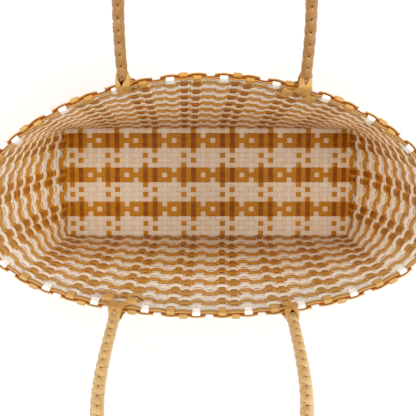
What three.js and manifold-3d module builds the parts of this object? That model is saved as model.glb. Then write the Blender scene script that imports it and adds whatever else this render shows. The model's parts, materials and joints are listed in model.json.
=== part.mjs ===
// Woven tote bag of flat plastic strips, in millimetres, +Z up.
// X runs along the bag, Y from its front to its back. The origin is on the table under the floor.
// Thirty crosswise and thirteen lengthwise strips cross in the floor, turn up as the wall's uprights,
// stand alternately inside and outside sixteen weft hoops, and fold over two bands at the rim.
// Two braided arch handles pivot on straps that are folded over the rim.

import * as THREE from 'three';
import { mergeVertices } from 'three/addons/utils/BufferGeometryUtils.js';
import Module from 'manifold-3d';

const wasm = await Module();
wasm.setup();

// Strips
const STRIP_WIDTH = 6;
const STRIP_THICKNESS = 0.9;
const CLEARANCE = 0.3;
const WEAVE_CLEARANCE = 0.65;

// Floor
const COLUMN_COUNT = 30;
const COLUMN_PITCH = 10;
const ROW_COUNT = 22;
const ROW_PITCH = 5.05;
const ROW_WIDTH = 4.75;

// Wall and mouth, measured on the middle of the wall
const HOOP_COUNT = 16;
const HOOP_PITCH = 11.2;
const HOOP_SPACING = 0.4;
const HOOP_THICKNESS = 0.9;
const MOUTH_HALF_LENGTH = 177;
const MOUTH_HALF_WIDTH = 90.7;
const MOUTH_DROOP = 11.6;
const MOUTH_ADVANCE = 2;
const RIM_PITCH = 10;
const END_BULGE = 8;
const FRONT_DRIFT = 4;
const BACK_DRIFT = 7;

// Rim
const BAND_HEIGHT = 6.5;
const BAND_THICKNESS = 1.2;
const BAND_RISE = 2;
const FOLD_LENGTH = 6;

// Handles
const HANDLE_DIAMETER = 9;
const HANDLE_HALF_SPACING = 66;
const HANDLE_STEPS = 20;
const HANDLE_SIDES = 8;
const ROUND_END_STEPS = 3;
const FRONT_HANDLE = { x: -3.5, rise: 176, squareness: 3.7, leanDegrees: 15 };
const BACK_HANDLE = { x: 4.5, rise: 188, squareness: 2.3, leanDegrees: -46 };

// Straps that carry the handles
const STRAP_WIDTH = 10;
const STRAP_THICKNESS = 1.2;
const STRAP_DROP = 26;
const STRAP_FOLD = 5;
const WING_WIDTH = 8;
const WING_LENGTH = 34;
const WING_DEPTH = 4;

// Levels and layers that follow from the sizes above
const ROW_TOP = STRIP_THICKNESS;
const COLUMN_BOTTOM = ROW_TOP + CLEARANCE;
const FLOOR_TOP = COLUMN_BOTTOM + STRIP_THICKNESS;
const WALL_BOTTOM = FLOOR_TOP + CLEARANCE;
const WALL_TOP = WALL_BOTTOM + HOOP_COUNT * HOOP_PITCH;
const BAND_BOTTOM = WALL_TOP + BAND_RISE;
const BAND_TOP = BAND_BOTTOM + BAND_HEIGHT;
const RIM_TOP = BAND_TOP + CLEARANCE + STRIP_THICKNESS;
const UPRIGHT_NEAR = HOOP_THICKNESS / 2 + WEAVE_CLEARANCE;
const UPRIGHT_FAR = UPRIGHT_NEAR + STRIP_THICKNESS;
const BAND_NEAR = STRIP_THICKNESS / 2 + CLEARANCE;
const BAND_FAR = BAND_NEAR + BAND_THICKNESS;
const FOLD_NEAR = BAND_FAR + CLEARANCE;
const FOLD_FAR = FOLD_NEAR + STRIP_THICKNESS;
const STRAP_TOP = RIM_TOP + CLEARANCE + STRAP_THICKNESS;
const PIVOT_HEIGHT = STRAP_TOP + CLEARANCE + HANDLE_DIAMETER / 2;

const SIDE_HALF = (COLUMN_COUNT * COLUMN_PITCH) / 2;
const ROW_HALF = ((ROW_COUNT - 1) * ROW_PITCH + ROW_WIDTH) / 2;
const FLOOR_HALF_LENGTH = SIDE_HALF + UPRIGHT_FAR - CLEARANCE;
const FLOOR_HALF_WIDTH = ROW_HALF + HOOP_THICKNESS / 2 + 2 * CLEARANCE;

const WHITE = 0xf3ead6;
const TAN = 0xc48f45;
const PLASTIC = { roughness: 0.4, metalness: 0 };
const whiteStrip = new THREE.MeshStandardMaterial({ color: WHITE, ...PLASTIC });
const tanStrip = new THREE.MeshStandardMaterial({ color: TAN, ...PLASTIC });

// The origin is under the middle of a floor strip, half a strip in front of the floor's middle.
const bag = new THREE.Group();
bag.name = 'woven_tote_bag';
bag.position.y = ROW_PITCH / 2;

function addPiece(name, geometry, material) {
  const piece = new THREE.Mesh(geometry, material);
  piece.name = name;
  bag.add(piece);
  return piece;
}

// Joins solids that share a body.
function fuse(geometries) {
  const solids = geometries.map((geometry) => {
    geometry.deleteAttribute('normal');
    geometry.deleteAttribute('uv');
    const merged = mergeVertices(geometry);
    return new wasm.Manifold(new wasm.Mesh({
      numProp: 3,
      vertProperties: merged.attributes.position.array,
      triVerts: new Uint32Array(merged.index.array),
    }));
  });
  const { vertProperties, triVerts, numProp } = solids.reduce((sum, solid) => sum.add(solid)).getMesh();
  const geometry = new THREE.BufferGeometry();
  geometry.setAttribute('position', new THREE.BufferAttribute(vertProperties, numProp));
  geometry.setIndex(new THREE.BufferAttribute(triVerts, 1));
  return geometry;
}

const materialOf = (tan) => (tan ? tanStrip : whiteStrip);
const colourOf = (tan) => (tan ? 'tan' : 'white');

// Crosswise strips lie in pairs of one colour, starting with tan.
const columnIsTan = (column) => column % 4 < 2;

// Closed solids are lofted through sections of four points each.
function loft(sections, isRing = false) {
  const points = sections.flat();
  const triangles = [];
  const spans = isRing ? sections.length : sections.length - 1;
  for (let span = 0; span < spans; span += 1) {
    const here = span * 4;
    const next = ((span + 1) % sections.length) * 4;
    for (let side = 0; side < 4; side += 1) {
      const turn = (side + 1) % 4;
      triangles.push([here + side, here + turn, next + turn]);
      triangles.push([here + side, next + turn, next + side]);
    }
  }
  if (!isRing) {
    const last = (sections.length - 1) * 4;
    triangles.push([0, 2, 1], [0, 3, 2]);
    triangles.push([last, last + 1, last + 2], [last, last + 2, last + 3]);
  }
  return solidOf(points, triangles);
}

function solidOf(points, triangles) {
  const cross = new THREE.Vector3();
  let volume = 0;
  for (const [a, b, c] of triangles) {
    volume += cross.crossVectors(points[b], points[c]).dot(points[a]);
  }
  const outward = volume > 0 ? triangles : triangles.map(([a, b, c]) => [a, c, b]);
  const geometry = new THREE.BufferGeometry();
  geometry.setAttribute(
    'position',
    new THREE.Float32BufferAttribute(points.flatMap((point) => point.toArray()), 3),
  );
  geometry.setIndex(outward.flat());
  return geometry;
}

// The mouth is an ellipse whose two ends sag towards the front. Its middle lies a little in front
// of the floor's middle.
function mouthPoint(angle) {
  const x = MOUTH_HALF_LENGTH * Math.sin(angle);
  const y = -MOUTH_ADVANCE - MOUTH_HALF_WIDTH * Math.cos(angle);
  return new THREE.Vector2(x, y - MOUTH_DROOP * (x / MOUTH_HALF_LENGTH) ** 2);
}

// Lengths along the right half of the mouth, from the middle of the front to the middle of the back.
const MOUTH_STEPS = 720;
const mouthLengths = [0];
for (let step = 1; step <= MOUTH_STEPS; step += 1) {
  const from = mouthPoint((Math.PI * (step - 1)) / MOUTH_STEPS);
  const to = mouthPoint((Math.PI * step) / MOUTH_STEPS);
  mouthLengths.push(mouthLengths[step - 1] + from.distanceTo(to));
}
const MOUTH_HALF_PERIMETER = mouthLengths[MOUTH_STEPS];

function mouthAt(length) {
  const whole = 2 * MOUTH_HALF_PERIMETER;
  const turned = length - whole * Math.round(length / whole);
  const distance = Math.min(Math.abs(turned), MOUTH_HALF_PERIMETER);
  let step = 1;
  while (step < MOUTH_STEPS && mouthLengths[step] < distance) step += 1;
  const before = mouthLengths[step - 1];
  const share = (distance - before) / (mouthLengths[step] - before);
  const point = mouthPoint((Math.PI * (step - 1 + share)) / MOUTH_STEPS);
  return turned < 0 ? new THREE.Vector2(-point.x, point.y) : point;
}

// Rows that turn up at the ends, counted from the back: the first white one, the outer two of each
// tan triple and the outer two of each white four. The others end at the edge of the floor.
const ROW_CYCLE = 7;
const rowIsTan = (row) => (row + ROW_CYCLE - 1) % ROW_CYCLE < 3;
const rowIsFiller = (row) => [2, 5, 6].includes(row % ROW_CYCLE);
const rowY = (row) => ((ROW_COUNT - 1) / 2 - row) * ROW_PITCH;
const columnX = (column) => (column - (COLUMN_COUNT - 1) / 2) * COLUMN_PITCH;
const uprightRows = [];
for (let row = ROW_COUNT - 1; row >= 0; row -= 1) {
  if (!rowIsFiller(row)) uprightRows.push(row);
}
const END_COUNT = uprightRows.length + 1;

// The wall has flat facets. Those of the ends and next to the corners carry one upright each,
// and those in the middle of the long sides, where the wall is nearly straight, carry more.
const CORNER_FACETS = [1, 1, 2, 3];
const MOST_IN_FACET = 4;
const cornerUprights = CORNER_FACETS.reduce((sum, size) => sum + size, 0);
const middleUprights = COLUMN_COUNT - 2 * cornerUprights;
const middleFacets = Array(Math.ceil(middleUprights / MOST_IN_FACET)).fill(MOST_IN_FACET);
middleFacets[0] -= middleFacets.length * MOST_IN_FACET - middleUprights;
const sideFacets = [...CORNER_FACETS, ...middleFacets, ...[...CORNER_FACETS].reverse()];
const SIDE_FACETS = sideFacets.length;
const facetStart = (facet) => sideFacets.slice(0, facet).reduce((sum, size) => sum + size, 0);
const END_PITCH_AT_MOUTH = (MOUTH_HALF_PERIMETER - (RIM_PITCH * COLUMN_COUNT)) / END_COUNT;
const MOUTH_SIDE_HALF = (RIM_PITCH * COLUMN_COUNT) / 2;

// Each corner of the facets has its place on the floor's edge and on the mouth. The uprights of the
// long sides lean along the mouth, clockwise seen from above, and most in the middle of each side.
const driftAt = (share, drift) => drift * (1 - share ** 2);

function makeCorners() {
  const right = [];
  for (let facet = 0; facet < SIDE_FACETS; facet += 1) {
    const share = (2 * facetStart(facet)) / COLUMN_COUNT - 1;
    right.push({
      floor: new THREE.Vector2(share * FLOOR_HALF_LENGTH, -FLOOR_HALF_WIDTH),
      mouth: mouthAt(share * MOUTH_SIDE_HALF - driftAt(share, FRONT_DRIFT)),
      bulge: 0,
    });
  }
  for (let facet = 0; facet < END_COUNT; facet += 1) {
    right.push({
      floor: new THREE.Vector2(FLOOR_HALF_LENGTH, endBoundary(facet)),
      mouth: mouthAt(MOUTH_SIDE_HALF + facet * END_PITCH_AT_MOUTH),
      bulge: END_BULGE * Math.sin((Math.PI * facet) / END_COUNT),
    });
  }
  const mirrored = ({ floor, mouth, bulge }) => ({
    floor: new THREE.Vector2(-floor.x, floor.y),
    mouth: new THREE.Vector2(-mouth.x, mouth.y),
    bulge: -bulge,
  });
  const back = [];
  for (let facet = 0; facet < SIDE_FACETS; facet += 1) {
    const share = 1 - (2 * facetStart(facet)) / COLUMN_COUNT;
    const length = MOUTH_HALF_PERIMETER - share * MOUTH_SIDE_HALF - driftAt(share, BACK_DRIFT);
    back.push({
      floor: new THREE.Vector2(share * FLOOR_HALF_LENGTH, FLOOR_HALF_WIDTH),
      mouth: mouthAt(length),
      bulge: 0,
    });
  }
  const end = right.slice(SIDE_FACETS);
  const left = [back[0], ...end.slice(1).reverse()].map(mirrored);
  return [...right, ...back, ...left];
}

// On the floor's end edge the facets meet midway between neighbouring rows.
function endBoundary(facet) {
  if (facet === 0) return -FLOOR_HALF_WIDTH;
  if (facet === END_COUNT - 1) return rowY(0) + ROW_WIDTH / 2 + CLEARANCE;
  return (rowY(uprightRows[facet - 1]) + rowY(uprightRows[facet])) / 2;
}

const corners = makeCorners();
const FACET_COUNT = corners.length;

// The handles pivot over the middle of the rim.
const FRONT_PIVOT_Y = mouthAt(HANDLE_HALF_SPACING).y;
const BACK_PIVOT_Y = mouthAt(MOUTH_HALF_PERIMETER - HANDLE_HALF_SPACING).y;

// The wall flares in straight stretches between these hoops. The ends also swell low down.
const STATIONS = [0, 2, 5, 9, HOOP_COUNT];
const SIDE_STATIONS = [0, 9, HOOP_COUNT];
const SIDE_FLARE_AT_MIDDLE = 0.6;

// The swell follows share * (1 - share) ** 2, which is 4 / 27 where it is widest.
const SWELL_SCALE = 27 / 4;

function outlineAtStation(hoop) {
  const share = hoop / HOOP_COUNT;
  const middle = SIDE_STATIONS[1];
  const flare = hoop < middle
    ? (SIDE_FLARE_AT_MIDDLE * hoop) / middle
    : SIDE_FLARE_AT_MIDDLE + ((1 - SIDE_FLARE_AT_MIDDLE) * (hoop - middle)) / (HOOP_COUNT - middle);
  const swell = SWELL_SCALE * share * (1 - share) ** 2;
  return corners.map(({ floor, mouth, bulge }) => {
    const point = floor.clone().lerp(mouth, flare);
    point.x += bulge * swell;
    return point;
  });
}

const stationOutlines = STATIONS.map(outlineAtStation);
const heightOf = (hoop) => WALL_BOTTOM + hoop * HOOP_PITCH;
const wallShare = (z) => THREE.MathUtils.clamp((z - WALL_BOTTOM) / (WALL_TOP - WALL_BOTTOM), 0, 1);

function outlineAt(z) {
  const hoop = wallShare(z) * HOOP_COUNT;
  let above = 1;
  while (above < STATIONS.length - 1 && STATIONS[above] < hoop) above += 1;
  const below = above - 1;
  const share = (hoop - STATIONS[below]) / (STATIONS[above] - STATIONS[below]);
  return stationOutlines[below].map((point, corner) => (
    point.clone().lerp(stationOutlines[above][corner], share)
  ));
}

function facetFrame(outline, facet) {
  const from = outline[facet];
  const to = outline[(facet + 1) % FACET_COUNT];
  const along = to.clone().sub(from);
  const length = along.length();
  along.divideScalar(length);
  return { from, along, length, outward: new THREE.Vector2(along.y, -along.x) };
}

function mitredCorner(outline, corner, offset, z) {
  const before = facetFrame(outline, (corner + FACET_COUNT - 1) % FACET_COUNT).outward;
  const after = facetFrame(outline, corner).outward;
  const scale = offset / (1 + before.dot(after));
  return new THREE.Vector3(
    outline[corner].x + (before.x + after.x) * scale,
    outline[corner].y + (before.y + after.y) * scale,
    z,
  );
}

// A ring round the bag, between two offsets from the middle of the wall.
function ring(inner, outer, bottom, top) {
  const cornersAt = (z, offset) => {
    const outline = outlineAt(z);
    return outline.map((_, corner) => mitredCorner(outline, corner, offset, z));
  };
  const loops = [
    cornersAt(bottom, inner),
    cornersAt(bottom, outer),
    cornersAt(top, outer),
    cornersAt(top, inner),
  ];
  return loft(loops[0].map((_, corner) => loops.map((loop) => loop[corner])), true);
}

// A slot is an upright's place on its facet, as shares of the facet's length low down and at the mouth.
function slotPoint(slot, side, offset, z) {
  const { from, along, length, outward } = facetFrame(outlineAt(z), slot.facet);
  const rise = wallShare(z);
  const middle = THREE.MathUtils.lerp(slot.floorShare, slot.mouthShare, rise) * length;
  const width = THREE.MathUtils.lerp(slot.floorWidth, slot.mouthWidth, rise);
  const half = Math.min(width, length) / 2;
  const distance = middle + side * half;
  return new THREE.Vector3(
    from.x + along.x * distance + outward.x * offset,
    from.y + along.y * distance + outward.y * offset,
    z,
  );
}

// A section across a strip. Each face is an offset from the middle of the wall and a height.
function section(slot, [inwardOffset, inwardZ, outwardOffset, outwardZ], isTurned) {
  const first = isTurned ? 1 : -1;
  return [
    slotPoint(slot, first, inwardOffset, inwardZ),
    slotPoint(slot, -first, inwardOffset, inwardZ),
    slotPoint(slot, -first, outwardOffset, outwardZ),
    slotPoint(slot, first, outwardOffset, outwardZ),
  ];
}

// The fold runs down beside its band, over it, and down between the two bands.
function foldProfile(isOutside) {
  const half = STRIP_THICKNESS / 2;
  const foldBottom = RIM_TOP - FOLD_LENGTH;
  const hollow = BAND_TOP + CLEARANCE;
  const between = [-half, BAND_BOTTOM - CLEARANCE, half, BAND_BOTTOM - CLEARANCE];
  if (isOutside) {
    return [
      [FOLD_FAR, foldBottom, FOLD_NEAR, foldBottom],
      [FOLD_FAR, RIM_TOP, FOLD_NEAR, hollow],
      [-half, RIM_TOP, half, hollow],
      between,
    ];
  }
  return [
    [-FOLD_NEAR, foldBottom, -FOLD_FAR, foldBottom],
    [-FOLD_NEAR, hollow, -FOLD_FAR, RIM_TOP],
    [-half, hollow, half, RIM_TOP],
    between,
  ];
}

function uprightSections(slot, stations, isTurned) {
  const inward = slot.isOutside ? UPRIGHT_NEAR : -UPRIGHT_FAR;
  const outward = slot.isOutside ? UPRIGHT_FAR : -UPRIGHT_NEAR;
  const wallProfile = [...stations].reverse().map((hoop) => (
    [inward, heightOf(hoop), outward, heightOf(hoop)]
  ));
  return [...foldProfile(slot.isOutside), ...wallProfile].map((profile) => (
    section(slot, profile, isTurned)
  ));
}

function bendSection(slot, layerTop, layerBottom, isTurned) {
  const inward = slot.isOutside ? UPRIGHT_NEAR : -UPRIGHT_FAR;
  const outward = slot.isOutside ? UPRIGHT_FAR : -UPRIGHT_NEAR;
  return section(slot, [inward, layerTop, outward, layerBottom], isTurned);
}

// A strip runs down one wall, across the floor and up the other wall.
function crossingStrip(first, second, stations, layerBottom) {
  const layerTop = layerBottom + STRIP_THICKNESS;
  return loft([
    ...uprightSections(first, stations, false),
    bendSection(first, layerTop, layerBottom, false),
    bendSection(second, layerTop, layerBottom, true),
    ...uprightSections(second, stations, true).reverse(),
  ]);
}

// A place on a long side, counted in uprights along the ring of slots, falls in one facet.
function sidePlace(place, isFront) {
  const distance = place + 0.5;
  let facet = 0;
  while (facet < SIDE_FACETS - 1 && facetStart(facet + 1) <= distance) facet += 1;
  const size = sideFacets[facet];
  const onFloor = ((distance * COLUMN_PITCH - SIDE_HALF) / (2 * FLOOR_HALF_LENGTH) + 0.5) * COLUMN_COUNT;
  return {
    facet: isFront ? facet : SIDE_FACETS + END_COUNT + facet,
    floorShare: (onFloor - facetStart(facet)) / size,
    mouthShare: (distance - facetStart(facet)) / size,
  };
}

// Slots on the two long sides. Inside and outside take turns round the bag.
function sideSlot(column, isFront) {
  const place = isFront ? column : COLUMN_COUNT - 1 - column;
  return {
    ...sidePlace(place, isFront),
    floorWidth: STRIP_WIDTH,
    mouthWidth: STRIP_WIDTH,
    isOutside: place % 2 === 1,
  };
}

// Slots on the two ends, counted from the front. The narrow facet at the back corner stays empty.
function endSlot(place, isRight) {
  const from = endBoundary(place);
  const share = (rowY(uprightRows[place]) - from) / (endBoundary(place + 1) - from);
  const order = isRight ? place : END_COUNT - 1 - place;
  return {
    facet: (isRight ? SIDE_FACETS : 2 * SIDE_FACETS + END_COUNT) + order,
    floorShare: isRight ? share : 1 - share,
    mouthShare: 0.5,
    floorWidth: ROW_WIDTH,
    mouthWidth: STRIP_WIDTH,
    isOutside: order % 2 === 1,
  };
}

for (let column = 0; column < COLUMN_COUNT; column += 1) {
  const tan = columnIsTan(column);
  const front = sideSlot(column, true);
  const back = sideSlot(column, false);
  const fromCorner = Math.min(column, COLUMN_COUNT - 1 - column);
  const stations = fromCorner < cornerUprights ? STATIONS : SIDE_STATIONS;
  const name = `crosswise_strip_${String(column + 1).padStart(2, '0')}_${colourOf(tan)}`;
  addPiece(name, crossingStrip(front, back, stations, COLUMN_BOTTOM), materialOf(tan));
}

// Lengthwise strips lie below them, packed side by side. In each group the outer ones turn up
// at the ends and the ones between stop at the floor's edge. The back group has one more strip.
const groupStarts = [0, 4, 8, 11, 15, 18];
groupStarts.forEach((start, index) => {
  const end = (groupStarts[index + 1] ?? ROW_COUNT) - 1;
  const floorWidth = (end - start) * ROW_PITCH + ROW_WIDTH;
  const floor = new THREE.BoxGeometry(2 * SIDE_HALF, floorWidth, STRIP_THICKNESS);
  floor.translate(0, (rowY(start) + rowY(end)) / 2, STRIP_THICKNESS / 2);
  const strips = uprightRows.filter((row) => row >= start && row <= end).map((row) => {
    const place = uprightRows.indexOf(row);
    return crossingStrip(endSlot(place, false), endSlot(place, true), STATIONS, 0);
  });
  const tan = rowIsTan(end);
  addPiece(`lengthwise_group_${index + 1}_${colourOf(tan)}`, fuse([floor, ...strips]), materialOf(tan));
});

// Each weft hoop is a pair of rings of one colour.
for (let hoop = 0; hoop < HOOP_COUNT; hoop += 1) {
  const tan = hoop % 2 === 0;
  const bottom = heightOf(hoop);
  const top = bottom + HOOP_PITCH - HOOP_SPACING;
  addPiece(
    `weft_hoop_${String(hoop + 1).padStart(2, '0')}_${colourOf(tan)}`,
    ring(-HOOP_THICKNESS / 2, HOOP_THICKNESS / 2, bottom, top),
    materialOf(tan),
  );
}

addPiece('rim_inner_band', ring(-BAND_FAR, -BAND_NEAR, BAND_BOTTOM, BAND_TOP), tanStrip);
addPiece('rim_outer_band', ring(BAND_NEAR, BAND_FAR, BAND_BOTTOM, BAND_TOP), tanStrip);

// Part of a ring on one long side, between two places.
function ringPart(from, to, isFront, inner, outer, bottom, top) {
  const levels = [[inner, bottom], [outer, bottom], [outer, top], [inner, top]];
  const sectionAt = (place) => levels.map(([offset, z]) => (
    slotPoint({ ...sidePlace(place, isFront), floorWidth: 0, mouthWidth: 0 }, 0, offset, z)
  ));
  const first = sidePlace(from, isFront).facet;
  const last = sidePlace(to, isFront).facet;
  const sections = [sectionAt(from)];
  for (let facet = first + 1; facet <= last; facet += 1) {
    sections.push(levels.map(([offset, z]) => mitredCorner(outlineAt(z), facet, offset, z)));
  }
  sections.push(sectionAt(to));
  return loft(sections);
}

// A strap folds over the rim, and its two wings lie against the wall's inner side.
function handleStrap(x, isFront) {
  const along = isFront ? x : -x;
  const drift = driftAt(along / SIDE_HALF, isFront ? FRONT_DRIFT : BACK_DRIFT);
  const place = (along + drift) / COLUMN_PITCH + (COLUMN_COUNT - 1) / 2;
  const slot = {
    ...sidePlace(place, isFront),
    floorWidth: STRAP_WIDTH,
    mouthWidth: STRAP_WIDTH,
  };
  const strapBottom = RIM_TOP - STRAP_DROP;
  const overFolds = FOLD_FAR + CLEARANCE;
  const onWall = UPRIGHT_FAR + CLEARANCE;
  const hollow = RIM_TOP + CLEARANCE;
  const strap = loft([
    [-onWall, strapBottom, -onWall - STRAP_THICKNESS, strapBottom],
    [-onWall, WALL_TOP - FOLD_LENGTH, -onWall - STRAP_THICKNESS, WALL_TOP - FOLD_LENGTH],
    [-overFolds, BAND_BOTTOM - CLEARANCE, -overFolds - STRAP_THICKNESS, BAND_BOTTOM - CLEARANCE],
    [-overFolds, hollow, -overFolds - STRAP_THICKNESS, STRAP_TOP],
    [overFolds, hollow, overFolds + STRAP_THICKNESS, STRAP_TOP],
    [overFolds, RIM_TOP - STRAP_FOLD, overFolds + STRAP_THICKNESS, RIM_TOP - STRAP_FOLD],
  ].map((profile) => section(slot, profile, false)));
  const reach = WING_LENGTH / COLUMN_PITCH / 2;
  const wingTop = WALL_TOP - WING_DEPTH;
  const wings = ringPart(
    place - reach,
    place + reach,
    isFront,
    -onWall - STRAP_THICKNESS,
    -onWall,
    wingTop - WING_WIDTH,
    wingTop,
  );
  return fuse([strap, wings]);
}

for (const isFront of [true, false]) {
  const { x: middle } = isFront ? FRONT_HANDLE : BACK_HANDLE;
  for (const side of [-1, 1]) {
    const name = `${isFront ? 'front' : 'back'}_${side < 0 ? 'left' : 'right'}_handle_strap`;
    addPiece(name, handleStrap(middle + side * HANDLE_HALF_SPACING, isFront), tanStrip);
  }
}

// Each handle is an arch whose legs rise almost straight, with a round end in which each leg pivots.
// The two are equally long. The back one leans further and is rounder.
class ArchCurve extends THREE.Curve {
  constructor(rise, squareness) {
    super();
    this.rise = rise;
    this.power = 2 / squareness;
  }

  getPoint(share, target = new THREE.Vector3()) {
    const angle = Math.PI * share;
    const across = -Math.sign(Math.cos(angle)) * Math.abs(Math.cos(angle)) ** this.power;
    return target.set(HANDLE_HALF_SPACING * across, 0, this.rise * Math.sin(angle) ** this.power);
  }
}

function handleGeometry({ rise, squareness }) {
  const radius = HANDLE_DIAMETER / 2;
  const arch = new ArchCurve(rise, squareness);
  const stations = arch.getSpacedPoints(HANDLE_STEPS).map((middle, step) => ({
    middle,
    tangent: arch.getTangentAt(step / HANDLE_STEPS),
    radius,
  }));
  const roundEnd = (x, angles) => angles.map((angle) => ({
    middle: new THREE.Vector3(x, 0, -radius * Math.cos(angle)),
    tangent: new THREE.Vector3(0, 0, -Math.sign(x)),
    radius: radius * Math.sin(angle),
  }));
  stations[0].tangent.set(0, 0, 1);
  stations[HANDLE_STEPS].tangent.set(0, 0, -1);
  const angles = Array.from({ length: ROUND_END_STEPS - 1 }, (_, step) => (
    (Math.PI * (step + 1)) / (2 * ROUND_END_STEPS)
  ));
  const rings = [
    ...roundEnd(-HANDLE_HALF_SPACING, angles),
    ...stations,
    ...roundEnd(HANDLE_HALF_SPACING, [...angles].reverse()),
  ];
  const points = rings.flatMap(({ middle, tangent, radius: reach }) => (
    Array.from({ length: HANDLE_SIDES }, (_, side) => {
      const turn = (2 * Math.PI * side) / HANDLE_SIDES;
      const outward = new THREE.Vector3(-tangent.z, 0, tangent.x).multiplyScalar(Math.cos(turn));
      return outward.setY(Math.sin(turn)).multiplyScalar(reach).add(middle);
    })
  ));
  const triangles = [];
  const startPole = points.push(new THREE.Vector3(-HANDLE_HALF_SPACING, 0, -radius)) - 1;
  const endPole = points.push(new THREE.Vector3(HANDLE_HALF_SPACING, 0, -radius)) - 1;
  const lastRing = (rings.length - 1) * HANDLE_SIDES;
  for (let side = 0; side < HANDLE_SIDES; side += 1) {
    const turn = (side + 1) % HANDLE_SIDES;
    triangles.push([startPole, turn, side]);
    triangles.push([endPole, lastRing + side, lastRing + turn]);
    for (let here = 0; here < lastRing; here += HANDLE_SIDES) {
      const next = here + HANDLE_SIDES;
      triangles.push([here + side, here + turn, next + turn]);
      triangles.push([here + side, next + turn, next + side]);
    }
  }
  return solidOf(points, triangles);
}

for (const isFront of [true, false]) {
  const shape = isFront ? FRONT_HANDLE : BACK_HANDLE;
  const name = isFront ? 'front_handle' : 'back_handle';
  const handle = addPiece(name, handleGeometry(shape), tanStrip);
  handle.position.set(shape.x, isFront ? FRONT_PIVOT_Y : BACK_PIVOT_Y, PIVOT_HEIGHT);
  handle.rotation.x = THREE.MathUtils.degToRad(shape.leanDegrees);
}

export default bag;
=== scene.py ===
"""Woven tote bag of flat plastic strips, dressed for rendering. Sizes are in metres, +Z is up.

Every strip is a flat ribbon that really passes over and under the strips it crosses. The wall is
one surface of two parameters: a place round the bag, counted in uprights, and a height. The floor
is a plain weave, the uprights are the ends of the floor's strips, and the weft rings run between
them.
"""

import json
import math

import bpy
import numpy as np
from bpy.props import FloatProperty, FloatVectorProperty, IntProperty, PointerProperty
from mathutils import Euler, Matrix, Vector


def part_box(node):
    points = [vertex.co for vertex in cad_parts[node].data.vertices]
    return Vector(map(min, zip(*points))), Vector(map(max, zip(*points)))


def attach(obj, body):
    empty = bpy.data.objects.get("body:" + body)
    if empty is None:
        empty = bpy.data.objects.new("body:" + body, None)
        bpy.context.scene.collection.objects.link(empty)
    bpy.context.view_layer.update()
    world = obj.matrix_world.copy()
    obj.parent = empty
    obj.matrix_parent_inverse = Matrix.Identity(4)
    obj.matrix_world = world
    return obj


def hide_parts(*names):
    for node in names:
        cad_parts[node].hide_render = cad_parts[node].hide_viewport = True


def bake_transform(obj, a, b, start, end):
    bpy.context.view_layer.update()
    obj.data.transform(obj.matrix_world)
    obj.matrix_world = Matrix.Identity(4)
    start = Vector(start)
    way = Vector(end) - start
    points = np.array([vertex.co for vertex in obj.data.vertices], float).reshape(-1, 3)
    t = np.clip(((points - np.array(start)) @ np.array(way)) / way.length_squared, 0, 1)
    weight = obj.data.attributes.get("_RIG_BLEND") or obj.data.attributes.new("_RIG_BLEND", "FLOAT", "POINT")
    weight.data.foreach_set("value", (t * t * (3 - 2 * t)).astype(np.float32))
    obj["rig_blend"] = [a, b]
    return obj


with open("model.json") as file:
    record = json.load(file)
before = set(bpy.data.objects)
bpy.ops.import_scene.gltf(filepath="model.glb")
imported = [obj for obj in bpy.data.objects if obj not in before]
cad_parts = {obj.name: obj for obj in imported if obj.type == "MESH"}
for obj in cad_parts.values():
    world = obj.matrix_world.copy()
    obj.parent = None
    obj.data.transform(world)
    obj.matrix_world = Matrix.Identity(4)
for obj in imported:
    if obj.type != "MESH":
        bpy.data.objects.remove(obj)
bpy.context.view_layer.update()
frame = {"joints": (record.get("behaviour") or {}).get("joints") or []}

bl_info = {
    "name": "Woven Tote Bag",
    "version": (1, 0, 0),
    "blender": (4, 5, 0),
    "location": "View3D > Sidebar > Tote Bag",
    "description": "Builds a woven plastic strip tote bag with braided handles",
    "category": "Add Mesh",
}

# Counts of strips
COLUMN_COUNT = 30
ROW_COUNT = 22
RING_COUNT = 32
RINGS_IN_PAIR = 2
ROW_CYCLE = 7
GROUP_STARTS = (0, 4, 8, 11, 15, 18)

# The uprights round the bag: front side, right end, back side and left end
END_ROWS = (21, 18, 17, 15, 14, 11, 10, 8, 7, 4, 3, 1, 0)
END_COUNT = len(END_ROWS) + 1
RIGHT_END = COLUMN_COUNT
BACK_SIDE = RIGHT_END + END_COUNT
LEFT_END = BACK_SIDE + COLUMN_COUNT
UPRIGHT_COUNT = LEFT_END + END_COUNT

# Floor and mouth. Columns stand closer towards the floor's ends, by a share of their distance.
COLUMN_PITCH = 0.010
COLUMN_SQUEEZE = 0.035
ROW_PITCH = 0.00505
FLOOR_HALF_LENGTH = 0.1467
FLOOR_HALF_WIDTH = 0.05645
FLOOR_MIDDLE = 0.00115
FRONT_TO_BACK_SHIFT = ROW_PITCH / 2
MOUTH_HALF_LENGTH = 0.177
MOUTH_HALF_WIDTH = 0.0907
MOUTH_DROOP = 0.0116
MOUTH_ADVANCE = 0.002
MOUTH_LEAD = 0.152
RIM_PITCH = 0.010
FRONT_DRIFT = 0.004
BACK_DRIFT = 0.007
END_BULGE = 0.008
CORNER_ROUNDING = 0.6
LIP_FLARE = 0.0016
LIP_HEIGHT = 0.040

# Wall and rim heights, from the frame's own hoops and bands
WALL_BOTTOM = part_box("weft_hoop_01_tan")[0].z
RING_PITCH = (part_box("weft_hoop_03_tan")[0].z - WALL_BOTTOM) / (2 * RINGS_IN_PAIR)
WALL_TOP = WALL_BOTTOM + RING_COUNT * RING_PITCH
BAND_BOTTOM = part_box("rim_inner_band")[0].z
BAND_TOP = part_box("rim_inner_band")[1].z
FOLD_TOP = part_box("crosswise_strip_15_white")[1].z

PIVOTS = {joint["child"]: np.array(joint["pos_m"]) for joint in frame["joints"]}
HANDLE_HALF_SPACING = 0.066
HANDLE_SHAPES = {
    "front_handle": {"rise": 0.176, "squareness": 3.7, "lean": math.radians(15)},
    "back_handle": {"rise": 0.188, "squareness": 2.3, "lean": math.radians(-46)},
}


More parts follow.
